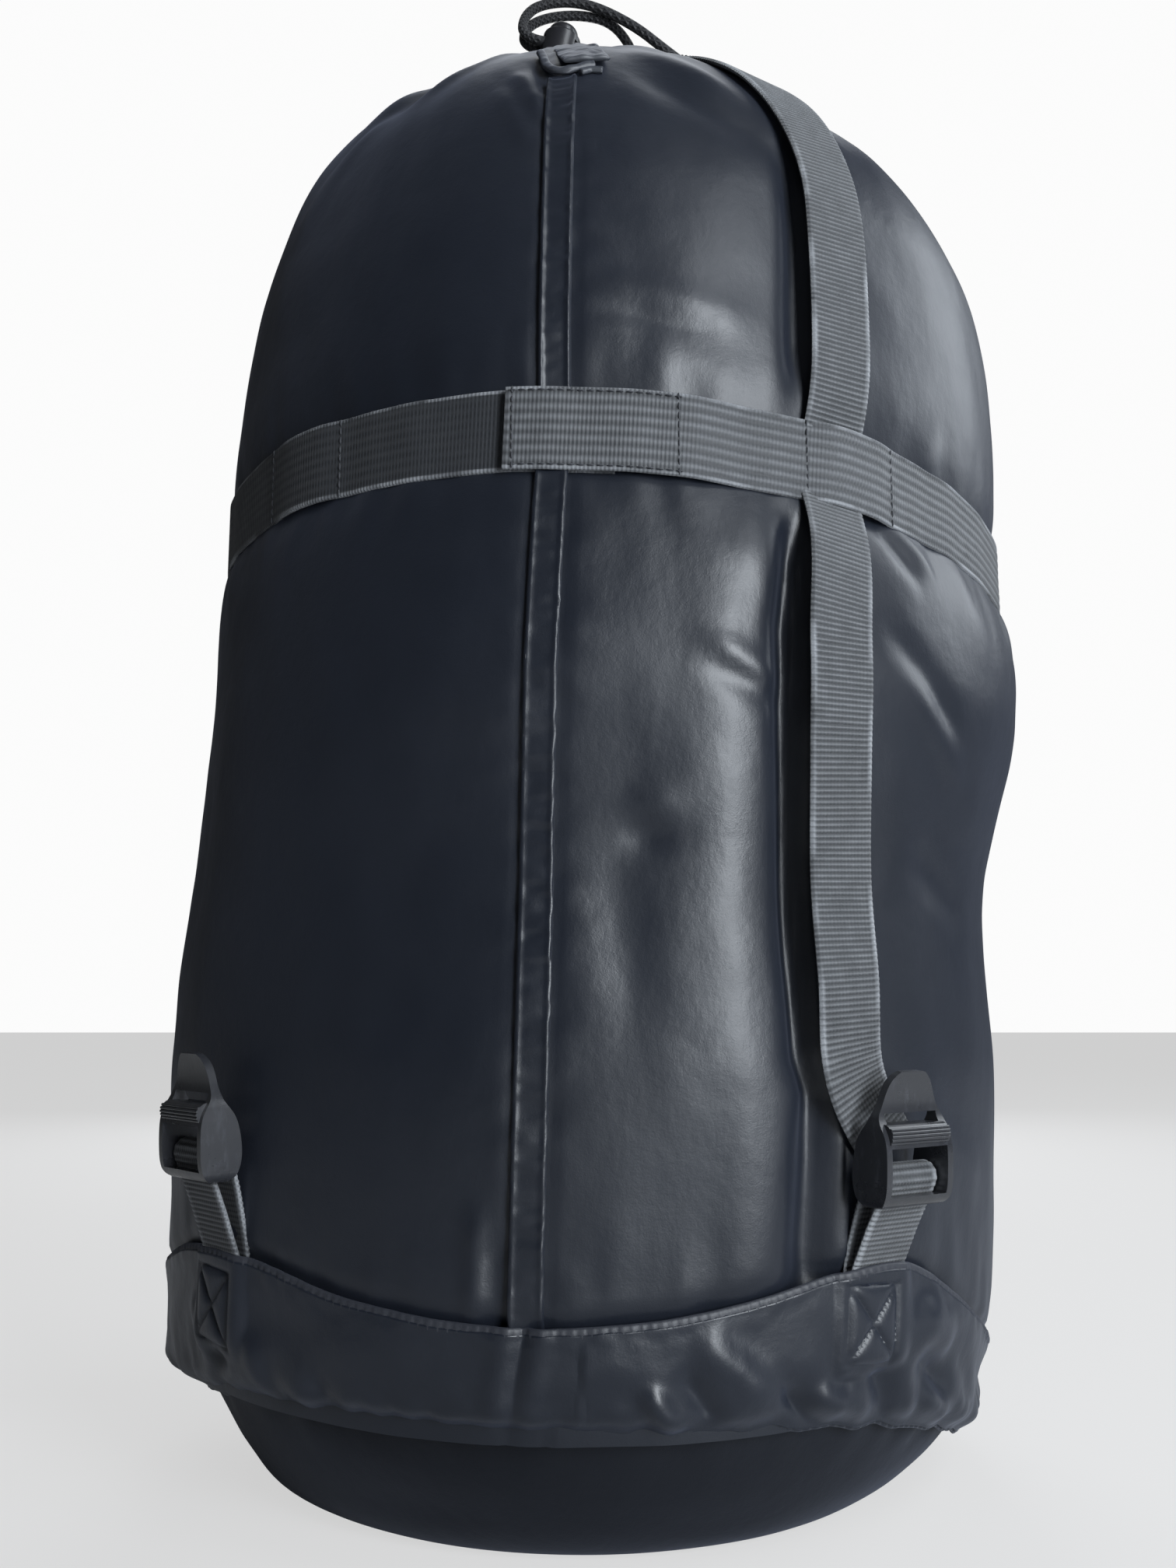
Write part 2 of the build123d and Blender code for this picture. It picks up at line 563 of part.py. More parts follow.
def main():
    radii = loop_radii(LOOP)
    loop, length = tube_along(LOOP, radii, CORD)
    print("free loop radii", [round(r, 1) for r in radii])
    print("free loop length", round(length, 1), "volume ratio",
          round(loop.volume / (pi * CORD ** 2 / 4 * length), 4))
    nodes = {
        "bottom_panel": make_bottom_panel(),
        "lower_cloth": make_lower_cloth(),
        "upper_cloth": make_upper_cloth(),
        "packed_load": make_load(),
        "cap_panel": make_cap_panel(),
        "cap_binding": make_cap_binding(),
        "cap_seam_cord": make_seam_cord(),
        "cap_fell_seam": make_cap_seam(),
        "tab_stitching": make_tab_stitching(),
        "placket_lower": make_placket_lower(),
        "placket_upper": make_placket_upper(),
        "girth_band": make_band(),
        "band_stitching": make_band_stitching(),
        "strap_front_left": make_thrown_strap(),
        "strap_stitching": make_anchor_stitching(),
        "hem_channel": make_hem(),
        "mouth_gathers": make_mouth_gathers(),
        "hem_tab": make_hem_tab(),
        "drawcord_held": make_held_cord(),
        "drawcord_loop": loop,
        "cord_lock_barrel": make_lock_barrel(),
        "cord_lock_button": make_lock_button(),
        "cord_lock_spring": make_lock_spring(),
    }
    for name, azimuth, bar_z in CORNERS:
        nodes["tab_" + name] = make_tab(azimuth, bar_z)
        nodes["ladderlock_" + name] = make_buckle(azimuth, bar_z)
    for name, azimuth, bar_z in HANGING:
        nodes["strap_" + name] = make_strap(azimuth, bar_z)
    os.makedirs("parts", exist_ok=True)
    for name, shape in nodes.items():
        export_step(shape, "parts/" + name + ".step")


if __name__ == "__main__":
    main()
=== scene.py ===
from math import cos, hypot, pi, radians, sin

import bpy
import numpy as np
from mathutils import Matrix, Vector
from mathutils.bvhtree import BVHTree


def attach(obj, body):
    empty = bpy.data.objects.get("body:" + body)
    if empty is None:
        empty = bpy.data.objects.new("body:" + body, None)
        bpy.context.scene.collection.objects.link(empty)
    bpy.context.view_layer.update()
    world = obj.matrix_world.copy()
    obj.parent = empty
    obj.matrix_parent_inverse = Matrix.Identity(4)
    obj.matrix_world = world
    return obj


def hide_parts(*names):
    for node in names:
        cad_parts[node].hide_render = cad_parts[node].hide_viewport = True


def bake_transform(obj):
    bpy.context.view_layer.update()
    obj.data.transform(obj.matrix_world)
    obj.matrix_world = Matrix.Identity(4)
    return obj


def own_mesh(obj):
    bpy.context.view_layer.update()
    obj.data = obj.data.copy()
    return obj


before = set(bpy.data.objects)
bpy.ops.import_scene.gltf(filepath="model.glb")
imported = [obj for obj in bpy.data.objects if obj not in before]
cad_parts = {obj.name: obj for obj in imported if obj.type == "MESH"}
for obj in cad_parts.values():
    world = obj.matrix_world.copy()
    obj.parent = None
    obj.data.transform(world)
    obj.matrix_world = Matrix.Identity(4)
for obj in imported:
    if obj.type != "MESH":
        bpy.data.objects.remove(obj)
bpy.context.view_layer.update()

# ---- the sack's shape, in millimetres: azimuth 0 faces the camera (-Y) and grows towards +X ----
COLUMNS = 480
DOME_ROWS = 120
TUBE_ROWS = 130
TUBE_LOW = 38.0              # the cloth ends here, behind the cap
DOME_Z = 333.0
DOME_RISE = 172.0
DOME_RADIUS = 142.7
DOME_POWERS = (1.92, 2.84)
MOUTH = (-4.0, -52.0)        # middle of the gathered mouth
MOUTH_RIM = 8.0
# height, radius, shift of both sides towards +X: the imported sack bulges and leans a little
PROFILE = (
    (-5, 108, 1), (2, 113, 1), (9, 124, 5), (16, 129, 4), (22, 132, 2), (29, 136, -2), (37, 139, -3.5),
    (47, 140.2, -3), (59, 142.3, -2.2), (83, 143, -1.6), (110, 144, -2), (135, 144.5, -2.3),
    (160, 143.6, -2.2), (182, 142.4, -1.3), (195, 142.5, 0), (208, 143.6, 2.6), (221, 144.8, 5.2),
    (234, 146.2, 7.6), (247, 147, 9.6), (261, 146.7, 10.2), (274, 145.8, 9.8), (288, 144.2, 8.5),
    (302, 143, 8), (318, 142.7, 7.8), (333, 142.7, 8.8), (350, 142.7, 10.2), (374, 142.7, 11),
    (404, 142.7, 10.5), (420, 142.7, 9), (440, 142.7, 5.5), (460, 142.7, 2.6), (480, 142.7, 0.6),
    (495, 142.7, 0), (560, 142.7, 0),
)
BAND_Z = 304.5
BAND_LOW_RIGHT = 7.7         # the band's right side is this much lower than its middle
BAND_HIGH_FRONT = 9.0
# azimuth and height of the cap's lower seam and of its bound edge
CAP_SEAM = (
    (-180, 26), (-130, 24), (-95, 26), (-70, 31), (-45, 40), (-20, 43), (0, 42.5), (20, 41), (36, 37),
    (52, 28), (70, 16), (90, 12), (130, 18), (180, 26),
)
CAP_EDGE = (
    (-180, 57), (-160, 66), (-146, 76), (-137, 79), (-128, 76), (-108, 64), (-92, 59), (-75, 65),
    (-58, 78), (-47, 80.5), (-38, 78), (-28, 72.5), (-15, 68.5), (-4, 67.3), (8, 69), (19, 73.2),
    (27.5, 78), (34, 80), (40, 79), (47, 70), (58, 56), (70, 44), (85, 38), (98, 46), (110, 64),
    (117, 76), (124, 79), (131, 76), (148, 62), (165, 56), (180, 57),
)
CORNERS = (("front_right", 34.0, 105.0), ("front_left", -47.0, 109.0), ("rear_left", -137.0, 107.0),
           ("rear_right", 124.0, 107.0))


# ---- plain shapes and tables ----
def noise(u, v, seed, period=None):
    """Smooth noise of two arrays, from about -1 to 1; period repeats it along u."""
    table = np.random.RandomState(seed).uniform(-1, 1, (64, 64, 2))
    iu, iv = np.floor(u).astype(int), np.floor(v).astype(int)
    fu, fv = u - iu, v - iv
    su, sv = fu * fu * fu * (fu * (6 * fu - 15) + 10), fv * fv * fv * (fv * (6 * fv - 15) + 10)
    total = 0
    for du in (0, 1):
        for dv in (0, 1):
            a = (iu + du) % (period or 64)
            g = table[a % 64, (iv + dv) % 64]
            dot = g[..., 0] * (fu - du) + g[..., 1] * (fv - dv)
            total = total + dot * (su if du else 1 - su) * (sv if dv else 1 - sv)
    return total * 1.6


def ramp(x, low, high):
    t = np.clip((x - low) / (high - low), 0, 1)
    return t * t * (3 - 2 * t)


def bell(x, width):
    """A soft hill of height 1 round x = 0."""
    return np.exp(-((x / width) ** 2))


def smoothed_table(rows, column, grid, width):
    """A column of a table read on an even grid of its first column, with its corners rounded."""
    keys = [row[0] for row in rows]
    values = np.interp(grid, keys, [row[column] for row in rows])
    reach = np.arange(-3 * width, 3 * width + 0.1)
    kernel = bell(reach, width)
    padded = np.pad(values, len(reach) // 2, mode="edge")
    return np.convolve(padded, kernel / kernel.sum(), mode="valid")


HEIGHTS = np.arange(-5.0, 561.0)
RADII = smoothed_table(PROFILE, 1, HEIGHTS, 4)
SHIFTS = smoothed_table(PROFILE, 2, HEIGHTS, 7)


def tube_radius(z):
    return np.interp(z, HEIGHTS, RADII)


def lean(z):
    """How far the middle of the front stands towards +X."""
    return np.interp(z, (55, 300, 400, 440, 460, 480, 495), (-2.0, 7.0, 8.0, 5.0, 2.6, 0.6, 0.0))


def swell(azimuth, z):
    """Extra radius at the sides, where the load bulges and sags to the right."""
    return (np.interp(z, HEIGHTS, SHIFTS) - lean(z)) * np.sin(np.radians(azimuth)) ** 3


def around(rows, azimuth):
    """A closed smooth curve through (azimuth, height) rows, read at an azimuth in degrees."""
    grid = np.arange(-180.0, 180.0)
    keys = [row[0] for row in rows]
    raw = np.interp(grid, keys, [row[1] for row in rows])
    kernel = bell(np.arange(-12, 13), 3.5)
    kernel /= kernel.sum()
    wrapped = np.concatenate([raw[-12:], raw, raw[:12]])
    even = np.convolve(wrapped, kernel, mode="valid")
    at = (np.asarray(azimuth, float) + 180) % 360 - 180
    return np.interp(at, np.append(grid, 180.0), np.append(even, even[0]))


def band_height(azimuth):
    a = np.radians(azimuth)
    return BAND_Z - BAND_LOW_RIGHT * np.sin(a) + BAND_HIGH_FRONT * np.cos(a)


def dome_height(rho):
    u = np.clip(rho / DOME_RADIUS, 0, 1)
    return DOME_Z + DOME_RISE * (1 - u ** DOME_POWERS[0]) ** (1 / DOME_POWERS[1])


def placket_azimuth(q):
    return np.interp(q, (60, 130, 200, 300, 400, 500), (-5.9, -6.3, -6.9, -7.0, -6.5, -6.2))


STRAP_COURSE = (
    (100, 37.0), (112, 35.2), (120, 32.6), (128, 30.4), (137, 29.0), (165, 28.0), (195, 27.2),
    (228, 25.9), (258, 25.4), (294, 26.9), (330, 27.7), (400, 28.7), (445, 28.4), (520, 30.0),
)


def strap_azimuth(q):
    """Azimuth of the front strap's middle line."""
    heights, azimuths = zip(*STRAP_COURSE)
    return np.interp(q, heights, azimuths)


# dents and hills seen one by one on the sack: height, place (p, q), half width, half height, turn in
# degrees. p and q are millimetres round the sack and up its side, on over the dome.
DENTS = (
    (-1.3, 13, 197, 6, 5, 0), (0.9, 15, 206, 7, 5, 0), (-1.7, 8, 168, 10, 32, 6),
    (-2.4, -200, 440, 80, 34, 0), (2.0, 200, 425, 70, 34, 0),
)
# folds seen one by one: height, place (p, q) of both ends, half width; first the sack's, then the cap's
FOLDS = (
    (1.3, -29, 66, -29, 100, 3.0), (-1.0, -23, 64, -24, 92, 3.0), (1.0, 26, 252, 50, 240, 3.5),
    (-1.2, 26, 245, 52, 234, 4), (-1.6, 84, 262, 122, 232, 5), (1.2, 90, 248, 126, 220, 6),
    (-2.0, 96, 318, 116, 334, 3), (1.3, 106, 318, 122, 330, 3.5), (-1.6, 84, 296, 100, 276, 3),
    (1.0, 92, 298, 108, 280, 3), (-1.3, 100, 196, 140, 178, 7), (1.2, 100, 120, 146, 96, 8),
    (-1.0, -4, 352, 40, 340, 4), (0.9, -6, 362, 44, 352, 5), (1.5, -80, 452, -40, 492, 5),
    (-1.8, -96, 448, -50, 498, 5), (-1.5, -120, 430, -76, 484, 6), (1.2, -130, 404, -100, 450, 7),
    (1.7, -33, 447, -23, 422, 3.2), (-1.6, -27, 455, -20, 432, 2.4), (1.0, -40, 440, -26, 408, 3.6),
    (1.3, 10, 470, 52, 440, 7), (-1.3, 6, 450, 60, 412, 8),
)
CAP_FOLDS = (
    (2.8, 30, 66, 52, 50, 5), (-3.2, 26, 58, 38, 43, 4), (3.0, 17, 54, 28, 38, 3.2),
    (-4.2, 56, 52, 70, 37, 4), (3.0, 66, 50, 80, 38, 4), (-2.8, 84, 66, 98, 40, 5),
    (3.4, 104, 68, 124, 52, 6), (-3.4, 106, 54, 128, 40, 5), (-1.8, -126, 66, -116, 46, 4),
    (1.6, -138, 66, -126, 48, 4), (-1.4, -78, 52, -70, 40, 3.5), (1.2, -104, 60, -96, 44, 3.5),
)


def bump(p, q, p0, q0, wide, tall, turn):
    """A soft oval hill of height 1 at (p0, q0), turned by an angle in degrees."""
    c, s = cos(radians(turn)), sin(radians(turn))
    x, y = (p - p0) * c + (q - q0) * s, -(p - p0) * s + (q - q0) * c
    return bell(x, wide) * bell(y, tall)


def furrow(p, q, p0, q0, p1, q1, wide):
    """A soft line of height 1 from one point to another, fading at both ends."""
    length = hypot(p1 - p0, q1 - q0)
    dx, dy = (p1 - p0) / length, (q1 - q0) / length
    along = ((p - p0) * dx + (q - q0) * dy) / length
    across = -(p - p0) * dy + (q - q0) * dx
    return bell(across, wide) * np.exp(-1.6 * (2 * along - 1) ** 4)


ARC = 2.515                  # millimetres along the cloth for a degree of azimuth
RISE_STEP = 2.6              # millimetres that q grows by for a degree of rise over the dome


def relief(azimuth, q, low_edge):
    """How far the cloth stands out, in mm, at an azimuth and a height q up the side and over the dome."""
    p = azimuth * ARC
    h = 1.5 * noise(azimuth / 36 + 10, q / 95, 3, 10) + 0.7 * noise(azimuth / 15 + 24, q / 45, 5, 24)
    h = h + 0.28 * noise(azimuth / 6 + 60, q / 24, 8, 60)
    # the band draws the cloth in, and its edge gathers it
    away = q - band_height(azimuth)
    near = bell(np.abs(away) - 14, 16)
    h = h - 4.0 * bell(away, 12) + 0.9 * bell(away - 30, 16) + 0.9 * bell(away + 30, 16)
    h = h + 0.9 * near * noise(azimuth / 4.5 + 80, q / 34 + 7, 11, 80)
    # short wrinkles across both edges of the placket
    off = (azimuth - placket_azimuth(q)) * ARC
    side = bell(np.abs(off) - 5, 7)
    h = h + 0.65 * side * noise(off / 16 + 3, q / 7.5, 14) - 0.5 * bell(np.abs(off) - 5.2, 1.6)
    # the cloth swells on both sides of the front strap and leaves a deep gap at its left
    strap = (azimuth - np.minimum(strap_azimuth(q), 30.5)) * ARC
    fall = ramp(q, 68, 84) * (1 - ramp(q, 276, 298))
    gap = fall + 0.6 * ramp(q, 326, 345) * (1 - ramp(q, 392, 425))
    wide = 4.4 + 2.4 * (1 - ramp(q, 90, 150))
    h = h - 7.5 * bell(strap + 12.5, wide) * gap
    h = h + 1.9 * bell(strap + 30, 15) * fall + 1.4 * bell(strap - 28, 15) * fall
    for height, *place in DENTS:
        h = h + height * bump(p, q, *place)
    for height, *ends in FOLDS:
        h = h + height * furrow(p, q, *ends)
    dome = ramp(q, 400, 470)
    h = h + 1.2 * dome * noise(azimuth / 7.5 + 48, q / 60, 21, 48)
    # the cap's bound edge presses the cloth in
    h = h - 3.0 * ramp(low_edge + 7 - q, 0, 9)
    pleat = bell(q - low_edge - 8, 14)
    return h + 0.8 * pleat * noise(azimuth / 4 + 90, q / 40, 31, 90)


def grid_faces(rows, columns, looped=False):
    """Quads of a grid whose last column meets its first; looped joins the last row to the first too."""
    row, column = np.meshgrid(np.arange(rows if looped else rows - 1), np.arange(columns), indexing="ij")
    after, below = (column + 1) % columns, (row + 1) % rows
    quads = [row * columns + column, row * columns + after, below * columns + after, below * columns + column]
    return np.stack(quads, -1).reshape(-1, 4)


def grid_normals(points):
    """Unit normals of a grid of points whose columns go round towards +X and rows go down."""
    wrapped = np.concatenate([points[:, -1:], points, points[:, :1]], 1)
    normal = np.cross(np.gradient(points, axis=0), wrapped[:, 2:] - wrapped[:, :-2])
    return normal / np.maximum(np.linalg.norm(normal, axis=-1, keepdims=True), 1e-9)


def unit(rows):
    return rows / np.linalg.norm(rows, axis=-1, keepdims=True)


def outward(azimuth):
    """Level unit vector away from the sack's axis."""
    a = radians(azimuth)
    return Vector((sin(a), -cos(a), 0))


def new_mesh(name, points, faces):
    """A smooth object from points in millimetres."""
    mesh = bpy.data.meshes.new(name)
    faces = faces.tolist() if isinstance(faces, np.ndarray) else faces
    mesh.from_pydata((np.asarray(points, float).reshape(-1, 3) / 1000).tolist(), [], faces)
    mesh.validate()
    mesh.update()
    mesh.polygons.foreach_set("use_smooth", [True] * len(mesh.polygons))
    obj = bpy.data.objects.new(name, mesh)
    bpy.context.collection.objects.link(obj)
    return obj


def set_values(obj, name, values):
    layer = obj.data.attributes.new(name, "FLOAT", "POINT")
    layer.data.foreach_set("value", np.asarray(values, np.float32).ravel())


# ---- camera and lights ----
CAMERA = (0.0, -0.511, 0.153)
camera_data = bpy.data.cameras.new("camera")
camera_data.lens = 31.25
camera_data.sensor_width = 36
camera_data.clip_start = 0.02
camera = bpy.data.objects.new("camera", camera_data)
camera.location = CAMERA
camera.rotation_euler = (radians(99.0), 0, 0)
bpy.context.collection.objects.link(camera)
bpy.context.scene.camera = camera


def area_light(name, place, target, size, power, colour):
    data = bpy.data.lights.new(name, "AREA")
    data.shape = "RECTANGLE"
    data.size, data.size_y = size
    data.energy = power
    data.color = colour
    light = bpy.data.objects.new(name, data)
    light.location = place
    aim = Vector(target) - Vector(place)
    light.rotation_euler = aim.to_track_quat("-Z", "Y").to_euler()
    bpy.context.collection.objects.link(light)


# ---- materials ----
class Nodes:
    """Short calls for building a node material."""

    def __init__(self, name, colour, roughness, **fixed):
        self.material = bpy.data.materials.new(name)
        self.material.use_nodes = True
        self.tree = self.material.node_tree
        self.shader = self.tree.nodes["Principled BSDF"]
        self.shader.inputs["Base Color"].default_value = (*colour, 1)
        self.shader.inputs["Roughness"].default_value = roughness
        for key, value in fixed.items():
            self.shader.inputs[key.replace("_", " ")].default_value = value
        self.place = self.node("ShaderNodeTexCoord").outputs["Object"]

    def node(self, kind, **settings):
        made = self.tree.nodes.new(kind)
        for key, value in settings.items():
            setattr(made, key, value)
        return made

    def link(self, source, target):
        if isinstance(source, (int, float)):
            target.default_value = source
        else:
            self.tree.links.new(source, target)

    def noise(self, scale, detail, roughness=0.5, stretch=(1, 1, 1)):
        mapping = self.node("ShaderNodeMapping")
        mapping.inputs["Scale"].default_value = stretch
        self.link(self.place, mapping.inputs["Vector"])
        made = self.node("ShaderNodeTexNoise")
        made.inputs["Scale"].default_value = scale
        made.inputs["Detail"].default_value = detail
        made.inputs["Roughness"].default_value = roughness
        self.link(mapping.outputs["Vector"], made.inputs["Vector"])
        return made.outputs["Fac"]

    def attribute(self, name):
        return self.node("ShaderNodeAttribute", attribute_name=name).outputs["Fac"]

    def math(self, operation, a, b=0.0, c=0.0):
        made = self.node("ShaderNodeMath", operation=operation)
        for value, socket in zip((a, b, c), made.inputs):
            self.link(value, socket)
        return made.outputs[0]

    def wave(self, source, pitch):
        """Rounded ridges from 0 to 1 along a value in metres."""
        turn = self.math("MULTIPLY", source, 2 * pi / pitch)
        return self.math("MULTIPLY_ADD", self.math("COSINE", turn), 0.5, 0.5)

    def steps(self, value, low, high, start=0.0, end=1.0):
        made = self.node("ShaderNodeMapRange")
        for socket, number in zip(made.inputs[1:5], (low, high, start, end)):
            socket.default_value = number
        self.link(value, made.inputs[0])
        return made.outputs[0]

    def colour(self, value, dark, light):
        mix = self.node("ShaderNodeMix", data_type="RGBA")
        self.link(value, mix.inputs[0])
        for socket, shade in ((mix.inputs[6], dark), (mix.inputs[7], light)):
            if isinstance(shade, tuple):
                socket.default_value = (*shade, 1)
            else:
                self.link(shade, socket)
        return mix.outputs[2]

    def red(self, colour):
        made = self.node("ShaderNodeSeparateColor")
        self.link(colour, made.inputs[0])
        return made.outputs[0]

    def bump(self, layers):
        """Adds (height, depth in metres, strength) layers, one on another."""
        last = None
        for height, distance, strength in layers:
            made = self.node("ShaderNodeBump")
            made.inputs["Distance"].default_value = distance
            made.inputs["Strength"].default_value = strength
            self.link(height, made.inputs["Height"])
            if last:
                self.link(last, made.inputs["Normal"])
            last = made.outputs["Normal"]
        self.link(last, self.shader.inputs["Normal"])


CLOTH_DARK = (0.0060, 0.0080, 0.0130)
CLOTH_LIGHT = (0.0100, 0.0125, 0.0190)
DUST = (0.34, 0.33, 0.31)


def times(colour, factor):
    return tuple(factor * c for c in colour)


def cloth_material(name, dark, light, rough, crinkle):
    """Coated nylon: uneven tone and gloss, fine crinkles, and a few specks of dust."""
    m = Nodes(name, dark, rough, Specular_IOR_Level=0.5, Sheen_Weight=0.10, Sheen_Roughness=0.45)
    m.shader.inputs["Sheen Tint"].default_value = (0.55, 0.62, 0.85, 1)
    tone = m.colour(m.steps(m.noise(9, 4, 0.6), 0.3, 0.7), dark, light)
    cells = m.node("ShaderNodeTexVoronoi")
    cells.inputs["Scale"].default_value = 21
    m.link(m.place, cells.inputs["Vector"])
    near = m.steps(cells.outputs["Distance"], 0.010, 0.022, 1, 0)
    chosen = m.math("GREATER_THAN", m.red(cells.outputs["Color"]), 0.70)
    specks = m.math("MULTIPLY", near, chosen)
    m.link(m.colour(specks, tone, DUST), m.shader.inputs["Base Color"])
    m.link(m.steps(m.noise(14, 5, 0.6), 0.3, 0.7, rough - 0.05, rough + 0.07), m.shader.inputs["Roughness"])
    m.bump([
        (m.noise(38, 5, 0.55), 0.0016, crinkle),
        (m.noise(170, 3, 0.5, (1, 1, 0.6)), 0.00035, 0.35),
        (m.noise(2300, 1, 0.5), 0.00008, 0.35),
    ])
    return m.material


def webbing_material(name, dark, light, cross_pitch, long_pitch, ridged, plain_painted_shade=None):
    """Woven tape: fine picks across it and warp ribs along it; a colour for its smooth stretch, where given,
    paints that stretch darker as painted shade.
    """
    rough = 0.62
    m = Nodes(name, dark, rough, Specular_IOR_Level=0.42, Sheen_Weight=0.12, Sheen_Roughness=0.5)
    along, across = m.attribute("along"), m.attribute("across")
    picks, warps = m.wave(along, cross_pitch), m.wave(across, long_pitch)
    weave = m.math("MULTIPLY", m.math("MULTIPLY_ADD", picks, 1 - ridged, ridged),
                   m.math("MULTIPLY_ADD", warps, ridged, 1 - ridged))
    fuzz = m.steps(m.noise(160, 4, 0.6), 0.3, 0.75)
    tone = m.colour(m.math("MULTIPLY", weave, m.math("MULTIPLY_ADD", fuzz, 0.5, 0.5)), dark, light)
    # the band's smooth stretch takes a darker colour: painted shade on its left side, away from the lamps
    if plain_painted_shade:
        tone = m.colour(m.attribute("plain"), tone, plain_painted_shade)
    worn = m.math("MULTIPLY", m.attribute("rim"), m.steps(m.noise(45, 4, 0.6), 0.42, 0.62))
    m.link(m.colour(worn, tone, times(light, 1.5)), m.shader.inputs["Base Color"])
    m.link(m.steps(fuzz, 0, 1, rough - 0.08, rough + 0.12), m.shader.inputs["Roughness"])
    m.bump([
        (picks, 0.0004, 0.8 - 0.6 * ridged),
        (warps, 0.0003, 0.2 + 0.7 * ridged),
        (m.noise(1500, 2, 0.6), 0.0001, 0.5),
    ])
    return m.material


def plastic_material(name, colour, rough):
    """Moulded plastic with paler scuffs and a faint ripple."""
    m = Nodes(name, colour, rough, Specular_IOR_Level=0.5, Coat_Weight=0.4, Coat_Roughness=0.18)
    scuffs = m.steps(m.noise(420, 4, 0.65, (1, 1, 0.35)), 0.55, 0.72)
    tone = m.colour(m.math("MULTIPLY", scuffs, 0.5), colour, times(colour, 2.6))
    m.link(tone, m.shader.inputs["Base Color"])
    m.link(m.steps(m.noise(90, 4, 0.6), 0.3, 0.7, rough - 0.06, rough + 0.1), m.shader.inputs["Roughness"])
    m.bump([(m.noise(900, 3, 0.6), 0.00012, 0.35), (m.noise(55, 2, 0.5), 0.0006, 0.12)])
    return m.material


def thread_material(name, colour):
    m = Nodes(name, colour, 0.6, Specular_IOR_Level=0.4, Sheen_Weight=0.2)
    tone = m.colour(m.noise(700, 2), times(colour, 0.6), times(colour, 1.5))
    m.link(tone, m.shader.inputs["Base Color"])
    m.bump([(m.noise(3000, 2), 0.0001, 0.6)])
    return m.material


CORD_TURNS = 110.0           # turns of the braid along a cord
CORD_DARK = (0.004, 0.004, 0.005)
CORD_LIGHT = (0.02, 0.02, 0.024)


def cord_material(name):
    """A braided sheath, its strands crossing as they wind round the cord."""
    dark, light = CORD_DARK, CORD_LIGHT
    m = Nodes(name, dark, 0.6, Specular_IOR_Level=0.4, Sheen_Weight=0.15)
    uv = m.node("ShaderNodeSeparateXYZ")
    m.link(m.node("ShaderNodeTexCoord").outputs["UV"], uv.inputs[0])
    length = m.math("MULTIPLY", uv.outputs[0], CORD_TURNS)
    round_it = m.math("MULTIPLY", uv.outputs[1], 5.0)
    one = m.wave(m.math("ADD", length, round_it), 1.0)
    two = m.wave(m.math("SUBTRACT", length, round_it), 1.0)
    braid = m.math("MAXIMUM", one, two)
    m.link(m.colour(m.math("MULTIPLY", braid, m.noise(500, 2)), dark, light), m.shader.inputs["Base Color"])
    m.bump([(braid, 0.0005, 0.8), (m.noise(2500, 2), 0.0001, 0.4)])
    return m.material


# ---- the drawcord ----
CORD = 0.0036
LOOP = (
    (-0.01735, -0.0544, 0.50496), (-0.0242, -0.0546, 0.5064), (-0.0244, -0.0544, 0.5144),
    (-0.0178, -0.0540, 0.5208), (-0.0018, -0.0532, 0.5224), (0.0165, -0.0518, 0.5142),
    (0.0295, -0.0495, 0.5046), (0.0430, -0.0400, 0.5012), (0.0515, -0.0230, 0.5006),
    (0.0510, -0.0040, 0.5016), (0.0400, 0.0110, 0.5040), (0.0235, 0.0130, 0.5072),
    (0.0115, 0.0040, 0.5086), (0.0100, -0.0100, 0.5080), (0.0150, -0.0220, 0.5064),
    (0.0195, -0.0325, 0.5056), (0.0170, -0.0430, 0.5104), (0.0090, -0.0486, 0.5174),
    (-0.0030, -0.0494, 0.5198), (-0.0165, -0.0500, 0.5180), (-0.0240, -0.0499, 0.5132),
    (-0.0242, -0.0497, 0.5063), (-0.01735, -0.0496, 0.50496),
)


def make_cord():
    curve = bpy.data.curves.new("drawcord_free_loop", "CURVE")
    curve.dimensions = "3D"
    spline = curve.splines.new("NURBS")
    spline.points.add(len(LOOP) - 1)
    for point, place in zip(spline.points, LOOP):
        point.co = (*place, 1)
    spline.order_u = 3
    spline.use_endpoint_u = True
    spline.resolution_u = 10
    curve.bevel_depth = CORD / 2
    curve.bevel_resolution = 4
    curve.use_fill_caps = True
    obj = bpy.data.objects.new("drawcord_free_loop", curve)
    bpy.context.collection.objects.link(obj)
    curve.materials.append(cord_material("braided_cord"))
    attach(obj, "upper")
    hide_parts("drawcord_loop")


make_cord()

cloth = cloth_material("coated_nylon", CLOTH_DARK, CLOTH_LIGHT, 0.40, 0.30)
# the cap's copy of the nylon has a paler light tone: painted light on the cap
cap_cloth_painted_light = cloth_material("coated_nylon_cap_painted_light", CLOTH_DARK, times(CLOTH_LIGHT, 1.15), 0.37, 0.45)
# the bottom panel's copy of the nylon is darker and duller: painted shade for the bottom that faces the floor
base_cloth_painted_shade = cloth_material("coated_nylon_base_painted_shade", times(CLOTH_DARK, 0.55), times(CLOTH_LIGHT, 0.6), 0.55, 0.3)
base_cloth_painted_shade.node_tree.nodes["Principled BSDF"].inputs["Specular IOR Level"].default_value = 0.25
